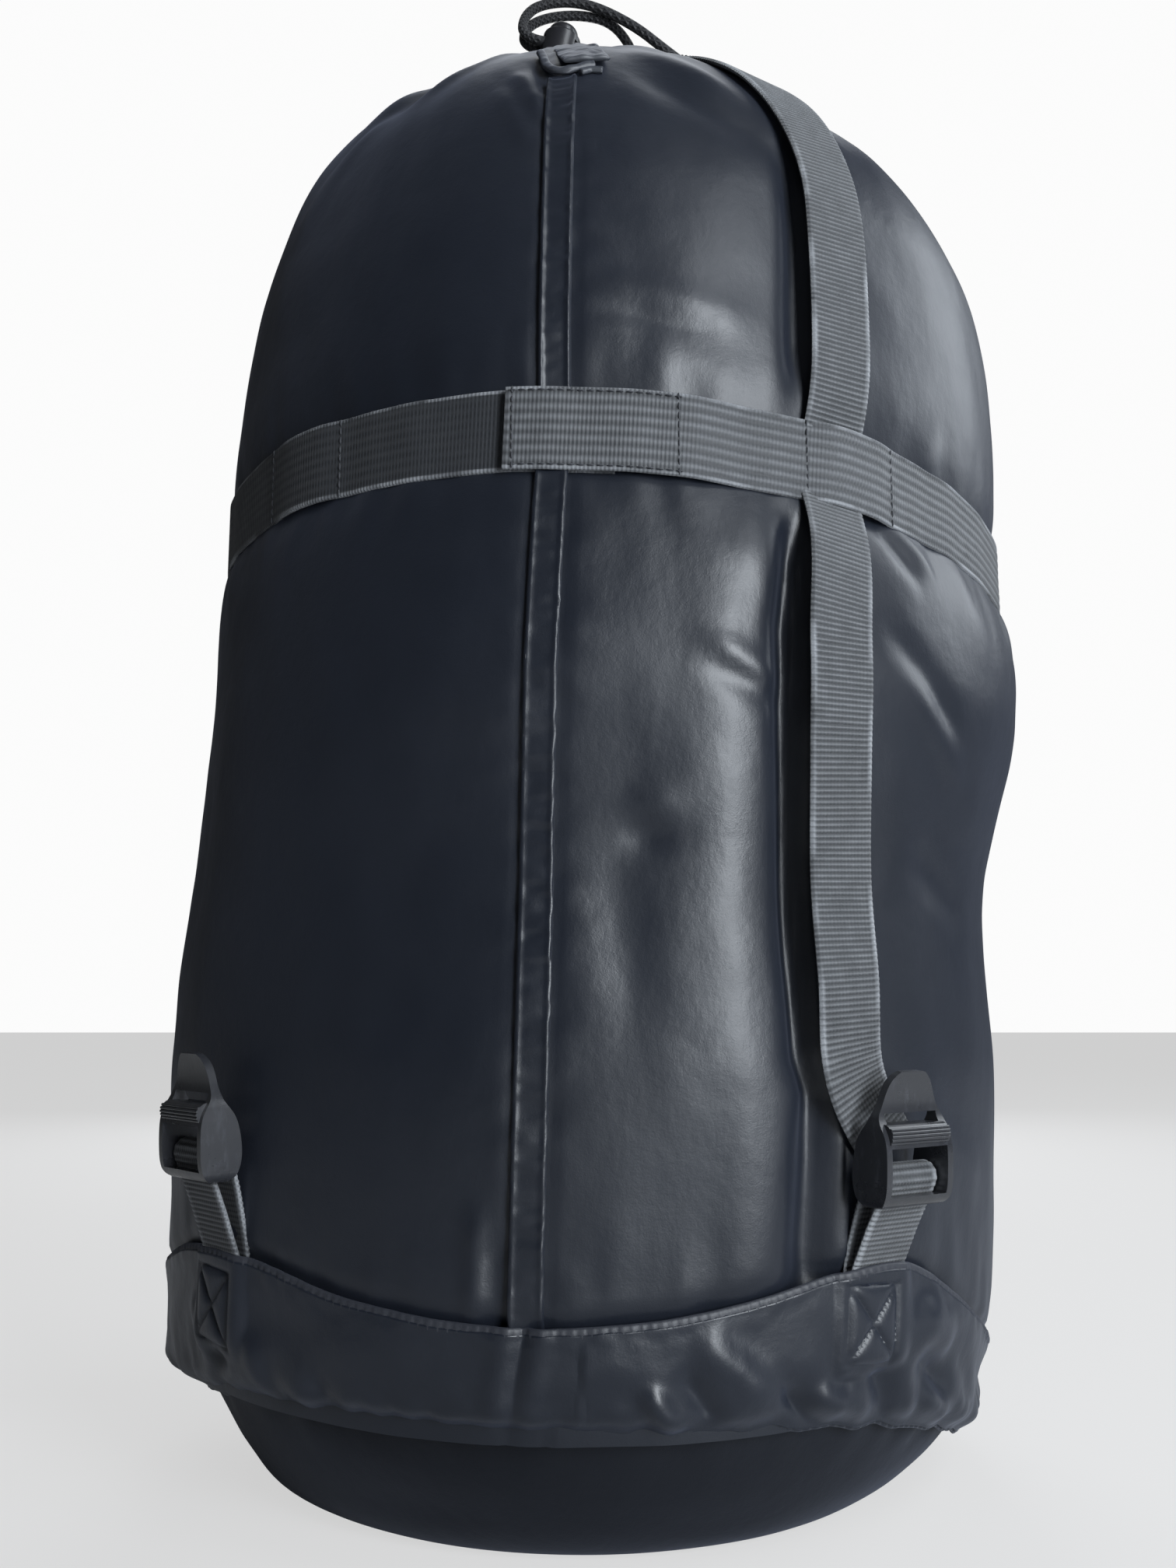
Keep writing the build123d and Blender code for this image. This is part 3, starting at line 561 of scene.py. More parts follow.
# the flap and the hem's rolled folds take a paler copy of the nylon: painted light on them
tab_cloth_painted_light = cloth_material("coated_nylon_tab_painted_light", (0.030, 0.033, 0.040), (0.060, 0.065, 0.075), 0.42, 0.3)
binding = cloth_material("binding_tape", (0.016, 0.018, 0.024), (0.030, 0.032, 0.040), 0.5, 0.2)
WEB_DARK = (0.022, 0.024, 0.027)
strap_web = webbing_material("ribbed_strap", WEB_DARK, (0.155, 0.162, 0.172), 0.0016, 0.0012, 0.15)
# the band's smooth stretch is coloured darker than its ribs: painted shade on its left, away from the lamps
band_web = webbing_material("ribbed_band", WEB_DARK, (0.140, 0.146, 0.156), 0.0012, 0.0031, 0.75,
                            plain_painted_shade=(0.018, 0.020, 0.024))
plastic = plastic_material("moulded_buckle", (0.022, 0.023, 0.027), 0.29)
thread = thread_material("bonded_thread", (0.022, 0.024, 0.03))


# ---- the sack's cloth ----
# the load fills the dome out at the right of the mouth, and less further out and at its left:
# height, middle x and y, half widths along x and y
DOME_HILLS = ((3.6, 18, -56, 20, 26), (-2.6, 68, -70, 24, 40), (-2.0, -42, -55, 24, 30))


def sack_grid():
    """Rows of points from the gathered mouth, over the dome and down to behind the cap."""
    azimuth = np.arange(COLUMNS) * 360.0 / COLUMNS - 180
    rays = np.stack([np.sin(np.radians(azimuth)), -np.cos(np.radians(azimuth))], -1)
    middle = np.array(MOUTH)
    s = 1 - (1 - np.linspace(0, 1, 500)) ** 3
    even = np.linspace(0, 1, DOME_ROWS)
    dome = np.empty((DOME_ROWS, COLUMNS, 3))
    for i, d in enumerate(rays):
        start, end = middle + MOUTH_RIM * d, DOME_RADIUS * d
        flat = start + (end - start) * s[:, None]
        curve = np.column_stack([flat, dome_height(np.hypot(flat[:, 0], flat[:, 1]))])
        length = np.append(0, np.cumsum(np.linalg.norm(np.diff(curve, axis=0), axis=1)))
        for k in range(3):
            dome[:, i, k] = np.interp(even * length[-1], length, curve[:, k])
    heights = np.linspace(DOME_Z, TUBE_LOW, TUBE_ROWS)[1:]
    tube = np.empty((len(heights), COLUMNS, 3))
    reach = tube_radius(heights)[:, None] + swell(azimuth[None], heights[:, None])
    tube[..., :2] = rays[None] * reach[..., None]
    tube[..., 2] = heights[:, None]
    points = np.concatenate([dome, tube])
    x, y, z = points[..., 0], points[..., 1], points[..., 2]
    on_dome = z > DOME_Z
    own = np.degrees(np.arctan2(x, -y))
    rise = np.degrees(np.arctan2(z - DOME_Z, np.hypot(x, y)))
    q = np.where(on_dome, DOME_Z + RISE_STEP * rise, z)
    away = np.hypot(x - middle[0], y - middle[1])
    out = relief(own, q, around(CAP_EDGE, own)) * np.where(on_dome, ramp(away, 12, 45), 1)
    out = out + np.where(on_dome, swell(own, z) * np.cos(np.radians(rise)), 0)
    # pleats run into the mouth and fade over the dome
    turn = np.arctan2(x - middle[0], middle[1] - y)
    wobble = 1.3 * noise(np.degrees(turn) / 30 + 12, away / 26, 41, 12)
    depth = 2.3 * np.exp(-((away - MOUTH_RIM) / 15)) * np.where(z > 430, 1, 0)
    out = out + depth * np.cos(21 * turn + wobble)
    out = out + 1.2 * bell(away - 34, 20) * noise(np.degrees(turn) / 11.25 + 32, away / 50, 43, 32)
    for height, x0, y0, wide, deep in DOME_HILLS:
        out = out + height * bell(x - x0, wide) * bell(y - y0, deep)
    points = points + grid_normals(points) * out[..., None]
    # the dome's foot runs smoothly into the tube
    for _ in range(12):
        seam_rows = points[DOME_ROWS - 9:DOME_ROWS + 9]
        points[DOME_ROWS - 8:DOME_ROWS + 8] = (seam_rows[:-2] + 2 * seam_rows[1:-1] + seam_rows[2:]) / 4
    points[..., 2] -= 7 * np.exp(-((away - MOUTH_RIM) / 5))
    points[..., 0] += lean(points[..., 2])
    return points


body = sack_grid()
body_faces = grid_faces(body.shape[0], COLUMNS)
sack = new_mesh("sack_cloth", body, body_faces)
sack.data.materials.append(cloth)
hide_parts("lower_cloth", "upper_cloth", "packed_load")


def tree_of(points, faces):
    flat = points.reshape(-1, 3)
    return BVHTree.FromPolygons([Vector(p) for p in flat], faces.tolist())


sack_tree = tree_of(body, body_faces)


def first_hit(tree, centre, out):
    """Point and outward normal where a ray from outside meets a surface, or None twice if it misses."""
    place, normal, _, _ = tree.ray_cast(centre + out * 320, -out)
    if place is None:
        return None, None
    return place, (normal if normal.dot(out) > 0 else -normal)


def axis_at(z):
    return Vector((float(lean(z)), 0, z))


def facing(azimuth, z):
    """Point and normal of the sack at an azimuth and height, seen straight from outside."""
    return first_hit(sack_tree, axis_at(z), outward(azimuth))


def over(azimuth, rise):
    """Point and normal of the dome at an azimuth and a rise in degrees from its foot."""
    e = radians(rise)
    out = outward(azimuth) * cos(e) + Vector((0, 0, sin(e)))
    return first_hit(sack_tree, Vector((float(lean(DOME_Z)) * cos(e), 0, DOME_Z)), out)


def evened(values, width):
    """Rows of numbers smoothed along the first axis, their ends kept."""
    reach = np.arange(-3 * width, 3 * width + 1)
    kernel = bell(reach, width)
    kernel /= kernel.sum()
    n = len(reach) // 2
    start = 2 * values[0] - values[1:n + 1][::-1]
    end = 2 * values[-1] - values[-n - 1:-1][::-1]
    padded = np.concatenate([start, values, end])
    return np.stack([np.convolve(column, kernel, mode="valid") for column in padded.T], -1)


def resampled(points, others, step):
    """Points and rows that go with them, a step apart along the line."""
    length = np.append(0, np.cumsum(np.linalg.norm(np.diff(points, axis=0), axis=1)))
    even = np.linspace(0, length[-1], max(int(round(length[-1] / step)), 2) + 1)
    return even, [np.stack([np.interp(even, length, column) for column in rows.T], -1)
                  for rows in (points, *others)]


def ribbon(name, points, normals, width, thick, edge, step=0.5, closed=False, columns=14, top=None):
    """A strip that follows points, its face turned to the normals, as one closed mesh.

    top(along, across) gives extra height of its outer face, and edge is how wide its rounded rim is.
    """
    points, normals = np.asarray(points, float), np.asarray(normals, float)
    if closed:
        points, normals = np.vstack([points, points[:1]]), np.vstack([normals, normals[:1]])
    along, (points, normals) = resampled(points, [normals], step)
    if closed:
        along, points, normals = along[:-1], points[:-1], normals[:-1]
        tangent = np.roll(points, -1, 0) - np.roll(points, 1, 0)
    else:
        tangent = np.gradient(points, axis=0)
    tangent = unit(tangent)
    normals = unit(normals - (normals * tangent).sum(1, keepdims=True) * tangent)
    side = np.cross(tangent, normals)
    x = np.sin(np.linspace(-pi / 2, pi / 2, columns)) * width / 2
    rim = np.clip((np.abs(x) - (width / 2 - edge)) / edge, 0, 1)
    low = thick * 0.5 * (1 - np.sqrt(np.clip(1 - rim ** 2, 0, 1)))
    height = np.repeat((thick - low)[None], len(points), 0)
    if top:
        height = height + top(along[:, None], x[None]) * (1 - rim ** 2)[None]
    upper = points[:, None] + side[:, None] * x[None, :, None] + normals[:, None] * height[..., None]
    lower = points[:, None] + side[:, None] * x[None, ::-1, None] + normals[:, None] * low[None, ::-1, None]
    ring = np.concatenate([upper, lower], 1)
    n, m = ring.shape[:2]
    faces = grid_faces(n, m, closed).tolist()
    if not closed:
        half = m // 2
        for base, flip in ((0, False), ((n - 1) * m, True)):
            for k in range(half - 1):
                quad = [base + k, base + k + 1, base + m - 2 - k, base + m - 1 - k]
                faces.append(quad if flip else quad[::-1])
    obj = new_mesh(name, ring, faces)
    across = np.concatenate([x, x[::-1]])
    set_values(obj, "along", np.repeat(along[:, None], m, 1) / 1000)
    set_values(obj, "across", np.repeat(across[None], n, 0) / 1000)
    set_values(obj, "rim", np.repeat((np.abs(across) > width / 2 - 1.2)[None].astype(float), n, 0))
    return obj


# sections of one stitch: place along it, thickness and rise, as shares of its length and radius
STITCH = ((-0.5, 0.25, -0.35), (-0.3, 0.9, 0.1), (0, 1, 0.35), (0.3, 0.9, 0.1), (0.5, 0.25, -0.35))


def stitch_rows(name, rows, length, radius, sunk=0.1):
    """Little rounded stitches: rows is a list of (points, normals, pitch)."""
    points, faces = [], []
    for line, normals, pitch in rows:
        line, normals = np.asarray(line, float), np.asarray(normals, float)
        _, (line, normals) = resampled(line, [normals], pitch)
        for p, t, n in zip(line, unit(np.gradient(line, axis=0)), normals):
            n = unit(n - n.dot(t) * t)
            s = np.cross(t, n)
            start = len(points)
            for place, thick, rise in STITCH:
                for k in range(6):
                    a = k * pi / 3
                    points.append(p + t * place * length + s * cos(a) * radius * thick
                                  + n * (sin(a) * radius * thick + rise * radius - sunk))
            for r in range(4):
                for k in range(6):
                    a, b = start + r * 6 + k, start + r * 6 + (k + 1) % 6
                    faces.append([a, b, b + 6, a + 6])
            faces.append([start + k for k in range(5, -1, -1)])
            faces.append([start + 24 + k for k in range(6)])
    obj = new_mesh(name, points, faces)
    obj.data.materials.append(thread)
    return obj


def finish_piece(obj, material, body_name, slot, *nodes):
    """Material, body and replaced nodes; slot is not used; a piece that crosses a joint has no body_name."""
    if material:
        obj.data.materials.append(material)
    if body_name:
        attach(obj, body_name)
    if nodes:
        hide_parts(*nodes)
    return obj


# ---- bottom panel and cap ----
def seam_radius(azimuth):
    """Radius of the seam that joins the cap to the bottom panel, under the cap's gathers."""
    seam = around(CAP_SEAM, azimuth)
    side = np.sin(np.radians(azimuth))
    return tube_radius(seam) + swell(azimuth, seam) - 5.0 - 2.6 * side ** 2 + 1.6 * side


def distance_to(x, z, start, end):
    """Distance of points from a straight piece of line."""
    dx, dz = end[0] - start[0], end[1] - start[1]
    t = np.clip(((x - start[0]) * dx + (z - start[1]) * dz) / (dx * dx + dz * dz), 0, 1)
    return np.hypot(x - start[0] - t * dx, z - start[1] - t * dz)


# corners of the stitched box on a tab's sewn end: millimetres to its right, and height
BOX_X = ((-10.6, 56.0), (6.8, 55.0), (6.8, 75.5), (-10.6, 76.5))
BOX_X_ROWS = ((0, 1), (1, 2), (2, 3), (3, 0), (0, 2), (1, 3))
FOOT_RADIUS = 100.0          # the flat that the sack stands on


def make_bottom():
    """The round bottom panel: a shallow bowl from the cap's seam down to the flat it stands on."""
    rows, wall = 46, 26
    azimuth = np.arange(COLUMNS) * 360.0 / COLUMNS - 180
    a = np.radians(azimuth)
    seam = around(CAP_SEAM, azimuth) + 3.5
    seam_r = seam_radius(azimuth)
    points = np.empty((rows, COLUMNS, 3))
    for i in range(rows):
        if i < wall:
            t = i / (wall - 1)
            z = seam * (1 - t) ** 1.6
            r = FOOT_RADIUS + (seam_r - FOOT_RADIUS) * (1 - t) ** 0.8
            pucker = 1.1 * bell(t, 0.22) * noise(azimuth / 4.8 + 75, t * 3, 51, 75)
            soft = noise(azimuth / 20 + 18, t * 3, 53, 18) * sin(pi * t)
            r = r + pucker + soft
        else:
            k = (i - wall + 1) / (rows - wall)
            r = FOOT_RADIUS * (1 - k) + 0.5 * k
            z = 1.6 * ramp(k, 0.02, 0.5)
        points[i, :, 0] = np.sin(a) * r + lean(z)
        points[i, :, 1] = -np.cos(a) * r
        points[i, :, 2] = np.maximum(z, 0.2)
    bottom = new_mesh("bottom_cloth", points, grid_faces(rows, COLUMNS))
    finish_piece(bottom, base_cloth_painted_shade, "base", "cloth", "bottom_panel")


def cap_grid():
    """Rows of points down the cap, from its bound edge to its lower seam, with their azimuths."""
    rows = 60
    azimuth = np.arange(COLUMNS * 2) * 180.0 / COLUMNS - 180
    a = np.radians(azimuth)
    seam, edge = around(CAP_SEAM, azimuth), around(CAP_EDGE, azimuth)
    points = np.empty((rows, len(azimuth), 3))
    for i in range(rows):
        t = i / (rows - 1)
        z = edge + (seam - edge) * t
        skin = tube_radius(z) + swell(azimuth, z)
        r = skin + 0.2
        # gathers rise from the lower seam, and fine puckers hang from the bound edge
        low, high = bell(1 - t, 0.42), bell(t, 0.16)
        lively = 0.6 + 1.1 * bell(azimuth - 52, 36) + 0.8 * bell(azimuth + 66, 34)
        slant = z / 9 * np.sign(azimuth)
        gather = noise((azimuth + slant) / 5 + 72, t * 2.3, 61, 72)
        fold = noise((azimuth + 1.7 * slant) / 12 + 30, t * 1.6, 63, 30)
        fine = noise(azimuth / 2.5 + 144, t * 5, 65, 144)
        r = r + lively * (2.1 * low * gather + 1.8 * np.sin(pi * t) ** 0.7 * fold + 0.5 * fine * low)
        r = r + 0.45 * high * fine
        r = r - 1.4 * np.sin(pi * t) * ramp(np.abs(azimuth), 30, 70)
        p = azimuth * ARC
        for height, *ends in CAP_FOLDS:
            r = r + height * furrow(p, z, *ends)
        # the sewn fell seam lies in a small valley
        off = (azimuth + 6.1 + 1.4 * t) * ARC
        r = r - 1.1 * bell(off, 2.2) + 0.7 * bell(np.abs(off) - 5, 3)
        # the four sewn tab ends lie flat, with their stitched boxes pressed in
        for _, centre, _ in CORNERS:
            x = ((azimuth - centre + 180) % 360 - 180) * ARC
            calm = (1 - ramp(np.abs(x), 10, 15)) * ramp(z, 50, 57)
            r = r + calm * (skin + 2.2 - r)
            nearest = np.min([distance_to(x, z, BOX_X[i], BOX_X[j]) for i, j in BOX_X_ROWS], 0)
            inside = (1 - ramp(np.abs(x + 1.9), 10, 14)) * ramp(z, 51, 55)
            r = r + inside * (0.25 * ramp(nearest, 0.8, 4) - 1.0 * bell(nearest, 0.9))
        r = r + (seam_radius(azimuth) + 0.9 - r) * bell(1 - t, 0.11)
        points[i, :, 0] = np.sin(a) * r + lean(z)
        points[i, :, 1] = -np.cos(a) * r
        points[i, :, 2] = z - 1.4 * low * noise(azimuth / 4 + 90, 0.0, 67, 90)
    return azimuth, points


make_bottom()
cap_azimuth, cap = cap_grid()
cap_faces = grid_faces(*cap.shape[:2])
cap_obj = finish_piece(new_mesh("cap_cloth_painted_light", cap, cap_faces), cap_cloth_painted_light, "base", "cloth", "cap_panel")
thicken = cap_obj.modifiers.new("thickness", "SOLIDIFY")
thicken.thickness = 0.0011
thicken.offset = -1
cap_tree = tree_of(cap, cap_faces)


def cap_facing(azimuth, z):
    """Like facing, on the cap where it covers the sack."""
    place, normal = first_hit(cap_tree, axis_at(z), outward(azimuth))
    return (place, normal) if place else facing(azimuth, z)


def rippled(height, pitch):
    """The top of a strip with ridges across it, for ribbon()."""
    def top(s, x):
        return height * np.sin(2 * pi * s / pitch)
    return top


def make_cap_trim():
    a = np.radians(cap_azimuth)
    normals = np.stack([np.sin(a), -np.cos(a), np.zeros_like(a)], -1)
    rail = ribbon("cap_bound_edge", cap[0] - normals * 0.6, normals, 3.4, 1.5, step=0.9, closed=True,
                  columns=8, top=rippled(0.25, 2.6), edge=1.2)
    finish_piece(rail, binding, "base", "binding", "cap_binding")
    piping = ribbon("cap_seam_ridge", cap[-1] - normals * 0.9, normals, 2.2, 1.4, step=0.9, closed=True,
                    columns=8, top=rippled(0.35, 3.1), edge=1.0)
    finish_piece(piping, cap_cloth_painted_light, "base", "binding", "cap_seam_cord")


make_cap_trim()


def make_cap_seam():
    places, normals = [], []
    for t in np.linspace(0.04, 0.96, 30):
        z = 67 + (43 - 67) * t
        place, normal = cap_facing(-6.1 - 1.4 * t, z)
        places.append(place + normal * 0.05)
        normals.append(normal)
    seam = ribbon("cap_fell_seam_line", evened(np.array(places), 2), evened(np.array(normals), 2), 1.5, 0.7,
                  columns=6, top=rippled(0.12, 2.4), edge=0.6)
    finish_piece(seam, binding, "base", "thread", "cap_fell_seam")


make_cap_seam()


# ---- plackets ----
def placket_line(offset, lift):
    """A line up the placket and over the dome, offset mm to its right and lift mm off the cloth."""
    hits = [facing(float(placket_azimuth(z)) + offset / ARC, z) for z in np.arange(58.0, DOME_Z, 2.0)]
    for rise in np.arange(0.4, 42.0, 0.8):
        centre = float(placket_azimuth(DOME_Z + RISE_STEP * rise))
        hits.append(over(centre + offset / ARC / max(cos(radians(rise)), 0.35), rise))
    places, normals = np.array([hit[0] for hit in hits]), np.array([hit[1] for hit in hits])
    normals = unit(evened(normals, 3))
    return evened(places, 1) + normals * lift, normals


def make_placket():
    line, normals = placket_line(0.0, 0.1)

    def creases(s, x):
        ripple = noise(s / 5.5, x / 9, 71) + 0.6 * noise(s / 2.6, x / 6, 73)
        raised_edge = bell(np.abs(x) - 4.0, 0.75)
        return 0.42 * ripple + (0.35 + 0.4 * ramp(s, 230, 290)) * raised_edge

    strip = ribbon("front_placket", line, normals, 9.6, 0.75, step=0.8, columns=22, top=creases, edge=0.8)
    finish_piece(strip, cloth, None, "cloth", "placket_lower", "placket_upper")
    rows = [(*placket_line(side * 3.9, 0.95), 3.1) for side in (-1, 1)]
    seams = stitch_rows("placket_stitches", rows, 2.1, 0.26)
    finish_piece(seams, None, None, "thread")
    return strip, seams


placket, placket_seams = make_placket()


# ---- girth band ----
def band_path(start, end):
    """Azimuths a degree apart, and the places and normals of the band's inner face there."""
    azimuths = np.arange(start, end + 0.5)
    places, normals = [], []
    for azimuth in azimuths:
        z = float(band_height(azimuth))
        out, centre = outward(azimuth), axis_at(z)
        reach = max((facing(azimuth, z + dz)[0].xy - centre.xy).length for dz in (-10, -5, 0, 5, 10))
        places.append(centre + out * (reach + band_lift(azimuth)))
        normals.append(out)
    return azimuths, np.array(places), np.array(normals)


TUNNELS = ((29.9, 2.6), (-42.5, 1.9), (120.0, 2.6), (-137.0, 2.6))     # azimuth and height of each arch
LAP_FROM, LAP_TO = -12.5, 8.5                                          # azimuths of the sewn lap
BAND_WIDTH, BAND_THICK = 25.0, 1.5
# the smooth stretch runs round the band's left side; its darker colour is painted shade
PLAIN_FROM = 610.0           # where the ribbed webbing meets the plain tape, measured along the band in mm


def band_lift(azimuth):
    """The band lies on the cloth, and arches over the strap in each tunnel."""
    lift = 0.3
    for centre, arch in TUNNELS:
        away = abs((azimuth - centre + 180) % 360 - 180)
        lift += arch * float(ramp(-away, -6.6, -4.4))
    return lift


def weave(s, x):
    """Long ribs of the band, which start past its lap and end where the plain tape begins."""
    return 0.2 * np.cos(2 * pi * x / 3.1) * ramp(s, 20, 60) * (1 - ramp(s, PLAIN_FROM, PLAIN_FROM + 4))


def make_band():
    azimuths, places, normals = band_path(LAP_FROM, LAP_FROM + 360 + 13)
    # the strip winds once and ends under its own start, which is folded and sewn over it
    under = ramp(azimuths, LAP_FROM + 345, LAP_FROM + 358)
    over_it = 1 - ramp(azimuths, LAP_TO, LAP_TO + 8)
    places = evened(places, 2) + normals * (1.9 * over_it - 0.15 * under)[:, None]
    strip = ribbon("girth_band_strip", places, normals, BAND_WIDTH, BAND_THICK, step=0.7, columns=40, top=weave,
                   edge=0.7)
    along = np.array([row.value for row in strip.data.attributes["along"].data]) * 1000
    # marks the smooth stretch, which the material paints darker as painted shade
    set_values(strip, "plain", ramp(along, PLAIN_FROM, PLAIN_FROM + 3))
    finish_piece(strip, band_web, "upper", "webbing", "girth_band")
    rows = []

    on_face = BAND_THICK + 0.25

    def across(azimuth):
        foot = Vector(places[int(round(azimuth - LAP_FROM))])
        n = outward(azimuth)
        line = [foot + n * on_face + Vector((0, 0, dz)) for dz in np.linspace(-11.3, 11.3, 8)]
        rows.append((np.array(line), np.array([n] * 8), 2.8))

    for centre, _ in TUNNELS:
        for side in (-6.7, 6.7):
            across(centre + side if centre + side > LAP_FROM else centre + side + 360)
    across(LAP_FROM + 1.3)
    across(LAP_FROM + 19.5)
    for dz in (-11.2, 11.2):
        rows.append((places[1:21] + normals[1:21] * on_face + np.array([0, 0, dz]), normals[1:21], 2.8))
    seams = stitch_rows("band_stitches", rows, 2.2, 0.28)
    finish_piece(seams, None, "upper", "thread", "band_stitching")


make_band()


# ---- straps ----
STRAP_WIDTH, STRAP_THICK = 21.0, 1.5
# height q and azimuth down each strap's middle, and height q and gap from the cloth
REAR_LEFT, REAR_RIGHT = ((0, -137.0),), ((0, 121.5),)
FRONT_GAP = ((100, 0.6), (124, 0.9), (140, 2.4), (158, 5.0), (260, 5.2), (286, 2.4), (296, 0.4), (315, 0.4),
             (340, 3.2), (400, 3.4), (450, 1.2), (500, 0.3), (520, 0.1))
REAR_GAP = ((100, 0.4), (130, 0.6), (160, 1.4), (260, 1.8), (286, 1.0), (296, 0.4), (315, 0.4), (340, 1.2),
            (520, 0.4))


def ribs(s, x):
    return 0.16 * np.cos(2 * pi * s / 1.6)


def make_strap(name, course, gaps, low, high_rise):
    """A strap from a rise on the dome down to just behind its buckle."""
    def azimuth_at(q):
        return float(np.interp(q, *zip(*course)))

    def gap_at(q):
        return float(np.interp(q, *zip(*gaps)))

    places, normals = [], []
    for rise in np.arange(high_rise, 0.2, -1.0):
        q = DOME_Z + RISE_STEP * rise
        place, normal = over(azimuth_at(q), rise)
        places.append(place + normal * gap_at(q))
        normals.append(normal)
    for z in np.arange(DOME_Z, low - 0.1, -2.5):
        azimuth, centre = azimuth_at(z), axis_at(z)
        out = outward(azimuth)
        reach = max((facing(azimuth + da, z)[0].xy - centre.xy).length for da in (-3.2, 0, 3.2))
        places.append(centre + out * (reach + gap_at(z)))
        normals.append(out)
    strip = ribbon("strap_" + name + "_strip", evened(np.array(places), 3), unit(evened(np.array(normals), 4)),
                   STRAP_WIDTH, STRAP_THICK, step=0.4, columns=16, top=ribs, edge=0.7)
    return finish_piece(strip, strap_web, None, "webbing", "strap_" + name)


straps = [
    make_strap("front_right", STRAP_COURSE, FRONT_GAP, 113.0, 71.0),
    make_strap("rear_left", REAR_LEFT, REAR_GAP, 110.0, 66.0),
    make_strap("rear_right", REAR_RIGHT, REAR_GAP, 110.0, 66.0),
]


def make_thrown_strap():
    """The front left strap lies back over the dome, in a straight line from above, and hangs down the rear."""
    start, end = Vector((-39.6, -43.1, 0)), Vector((25.3, 144.6, 0))
    along = (end - start).normalized()
    places, normals = [], []
    length = (end - start).length
    for d in np.arange(0, length * 0.93, 2.5):
        foot = start + along * d
        place, normal, _, _ = sack_tree.ray_cast(foot + Vector((0, 0, 600)), Vector((0, 0, -1)))
        if place is None or place.z < 430:
            break
        if normal.z < 0:
            normal = -normal
        places.append(place + normal * (1.3 + 1.2 * float(ramp(d, 0, 12))))
        normals.append(normal)
    last = places[-1]
    azimuth = np.degrees(np.arctan2(last.x - float(lean(last.z)), -last.y))
    final = np.degrees(np.arctan2(end.x - 8, -end.y))
    rise_from = np.degrees(np.arctan2(last.z - DOME_Z, hypot(last.x - 8, last.y)))
    for rise in np.arange(rise_from - 2, 0.3, -1.2):
        k = 1 - rise / rise_from
        place, normal = over(azimuth + (final - azimuth) * k, rise)
        places.append(place + normal * 2.4)
        normals.append(normal)
    for z in np.arange(DOME_Z, 190, -2.5):
        place, normal = facing(final, z)
        over_band = float(bell(z - band_height(final), 20))
        sway = float(ramp(-z, -280, -200))
        out = outward(final)
        places.append(place + out * (2.2 + 4.2 * over_band - 0.6 * sway))
        normals.append(out)
    strip = ribbon("strap_front_left_strip", evened(np.array(places), 4), unit(evened(np.array(normals), 4)),
                   STRAP_WIDTH, STRAP_THICK, step=0.4, columns=16, top=ribs, edge=0.7)
    finish_piece(strip, strap_web, "upper", "webbing", "strap_front_left")


make_thrown_strap()


def make_anchor_stitches():
    """The stitched box at the top of each strap that is sewn to the dome."""
    rows = []
    for azimuth, high in ((33, 69.5), (-137, 64.5), (121.5, 64.5)):
        corner = []
        for rise, side in ((high, -8.5), (high, 8.5), (high - 6.5, 8.5), (high - 6.5, -8.5)):
            wide = side / ARC / max(cos(radians(rise)), 0.3)
            place, normal = over(azimuth + wide, rise)
            corner.append((place + normal * 2.7, normal))
        for i, j in BOX_X_ROWS:
            a, b = corner[i], corner[j]
            line = [a[0].lerp(b[0], t) + a[1] * 0.25 * sin(pi * t) for t in np.linspace(0, 1, 8)]
            rows.append((np.array(line), np.array([a[1]] * 8), 2.6))
    seams = stitch_rows("strap_anchor_stitches", rows, 2.0, 0.28)
    finish_piece(seams, None, "upper", "thread", "strap_stitching")


make_anchor_stitches()


# ---- tabs and buckles ----
BAR_OUT = 153.0              # the buckle's bar, from the sack's axis
BAR_LOOP = 3.1               # radius of the webbing's turn round the bar
TAB_FREE = 80.0              # height where the webbing leaves the cap


def make_tab(name, azimuth, bar_z):
    """Doubled webbing from behind the cap's edge, round the buckle's bar and back."""
    out, upright = np.array(outward(azimuth)), np.array([0, 0, 1.0])
    foot, _ = cap_facing(azimuth, 66.0)
    foot_r = float(np.dot(np.array(foot), out)) - 2.9
    inside, outside, over_bar = BAR_OUT - 4.1, BAR_OUT + BAR_LOOP, bar_z - 2
    # the path as distance from the sack's axis and height: up, out to the bar, round it and back
    path = [(foot_r, z) for z in (60.0, 66.0, 74.0, TAB_FREE)]
    for t in (0.25, 0.5, 0.75):
        path.append((foot_r + (inside - foot_r) * t ** 1.2, TAB_FREE + (over_bar - TAB_FREE) * t))
    for angle in np.radians(np.linspace(185, -5, 12)):
        path.append((BAR_OUT + BAR_LOOP * cos(angle), bar_z + BAR_LOOP * sin(angle)))
    for t in (0.25, 0.5, 0.75):
        path.append((outside + (foot_r + 1.9 - outside) * t ** 0.8, over_bar + (TAB_FREE - over_bar) * t))
    path += [(foot_r + 1.7, z) for z in (TAB_FREE, 74.0, 66.0, 60.0)]
    _, (path,) = resampled(np.array(path), [], 0.8)
    path = evened(path, 2)
    slope = unit(np.gradient(path, axis=0))
    points = path[:, :1] * out + path[:, 1:] * upright
    # the face that shows is on the left of the travel up and over the bar
    normals = slope[:, :1] * upright - slope[:, 1:] * out
    strip = ribbon("tab_" + name + "_strip", points, normals, 20.0, 1.3, step=0.4, top=ribs, edge=0.6)
    return finish_piece(strip, strap_web, None, "webbing", "tab_" + name)


tabs = {name: make_tab(name, azimuth, bar_z) for name, azimuth, bar_z in CORNERS}


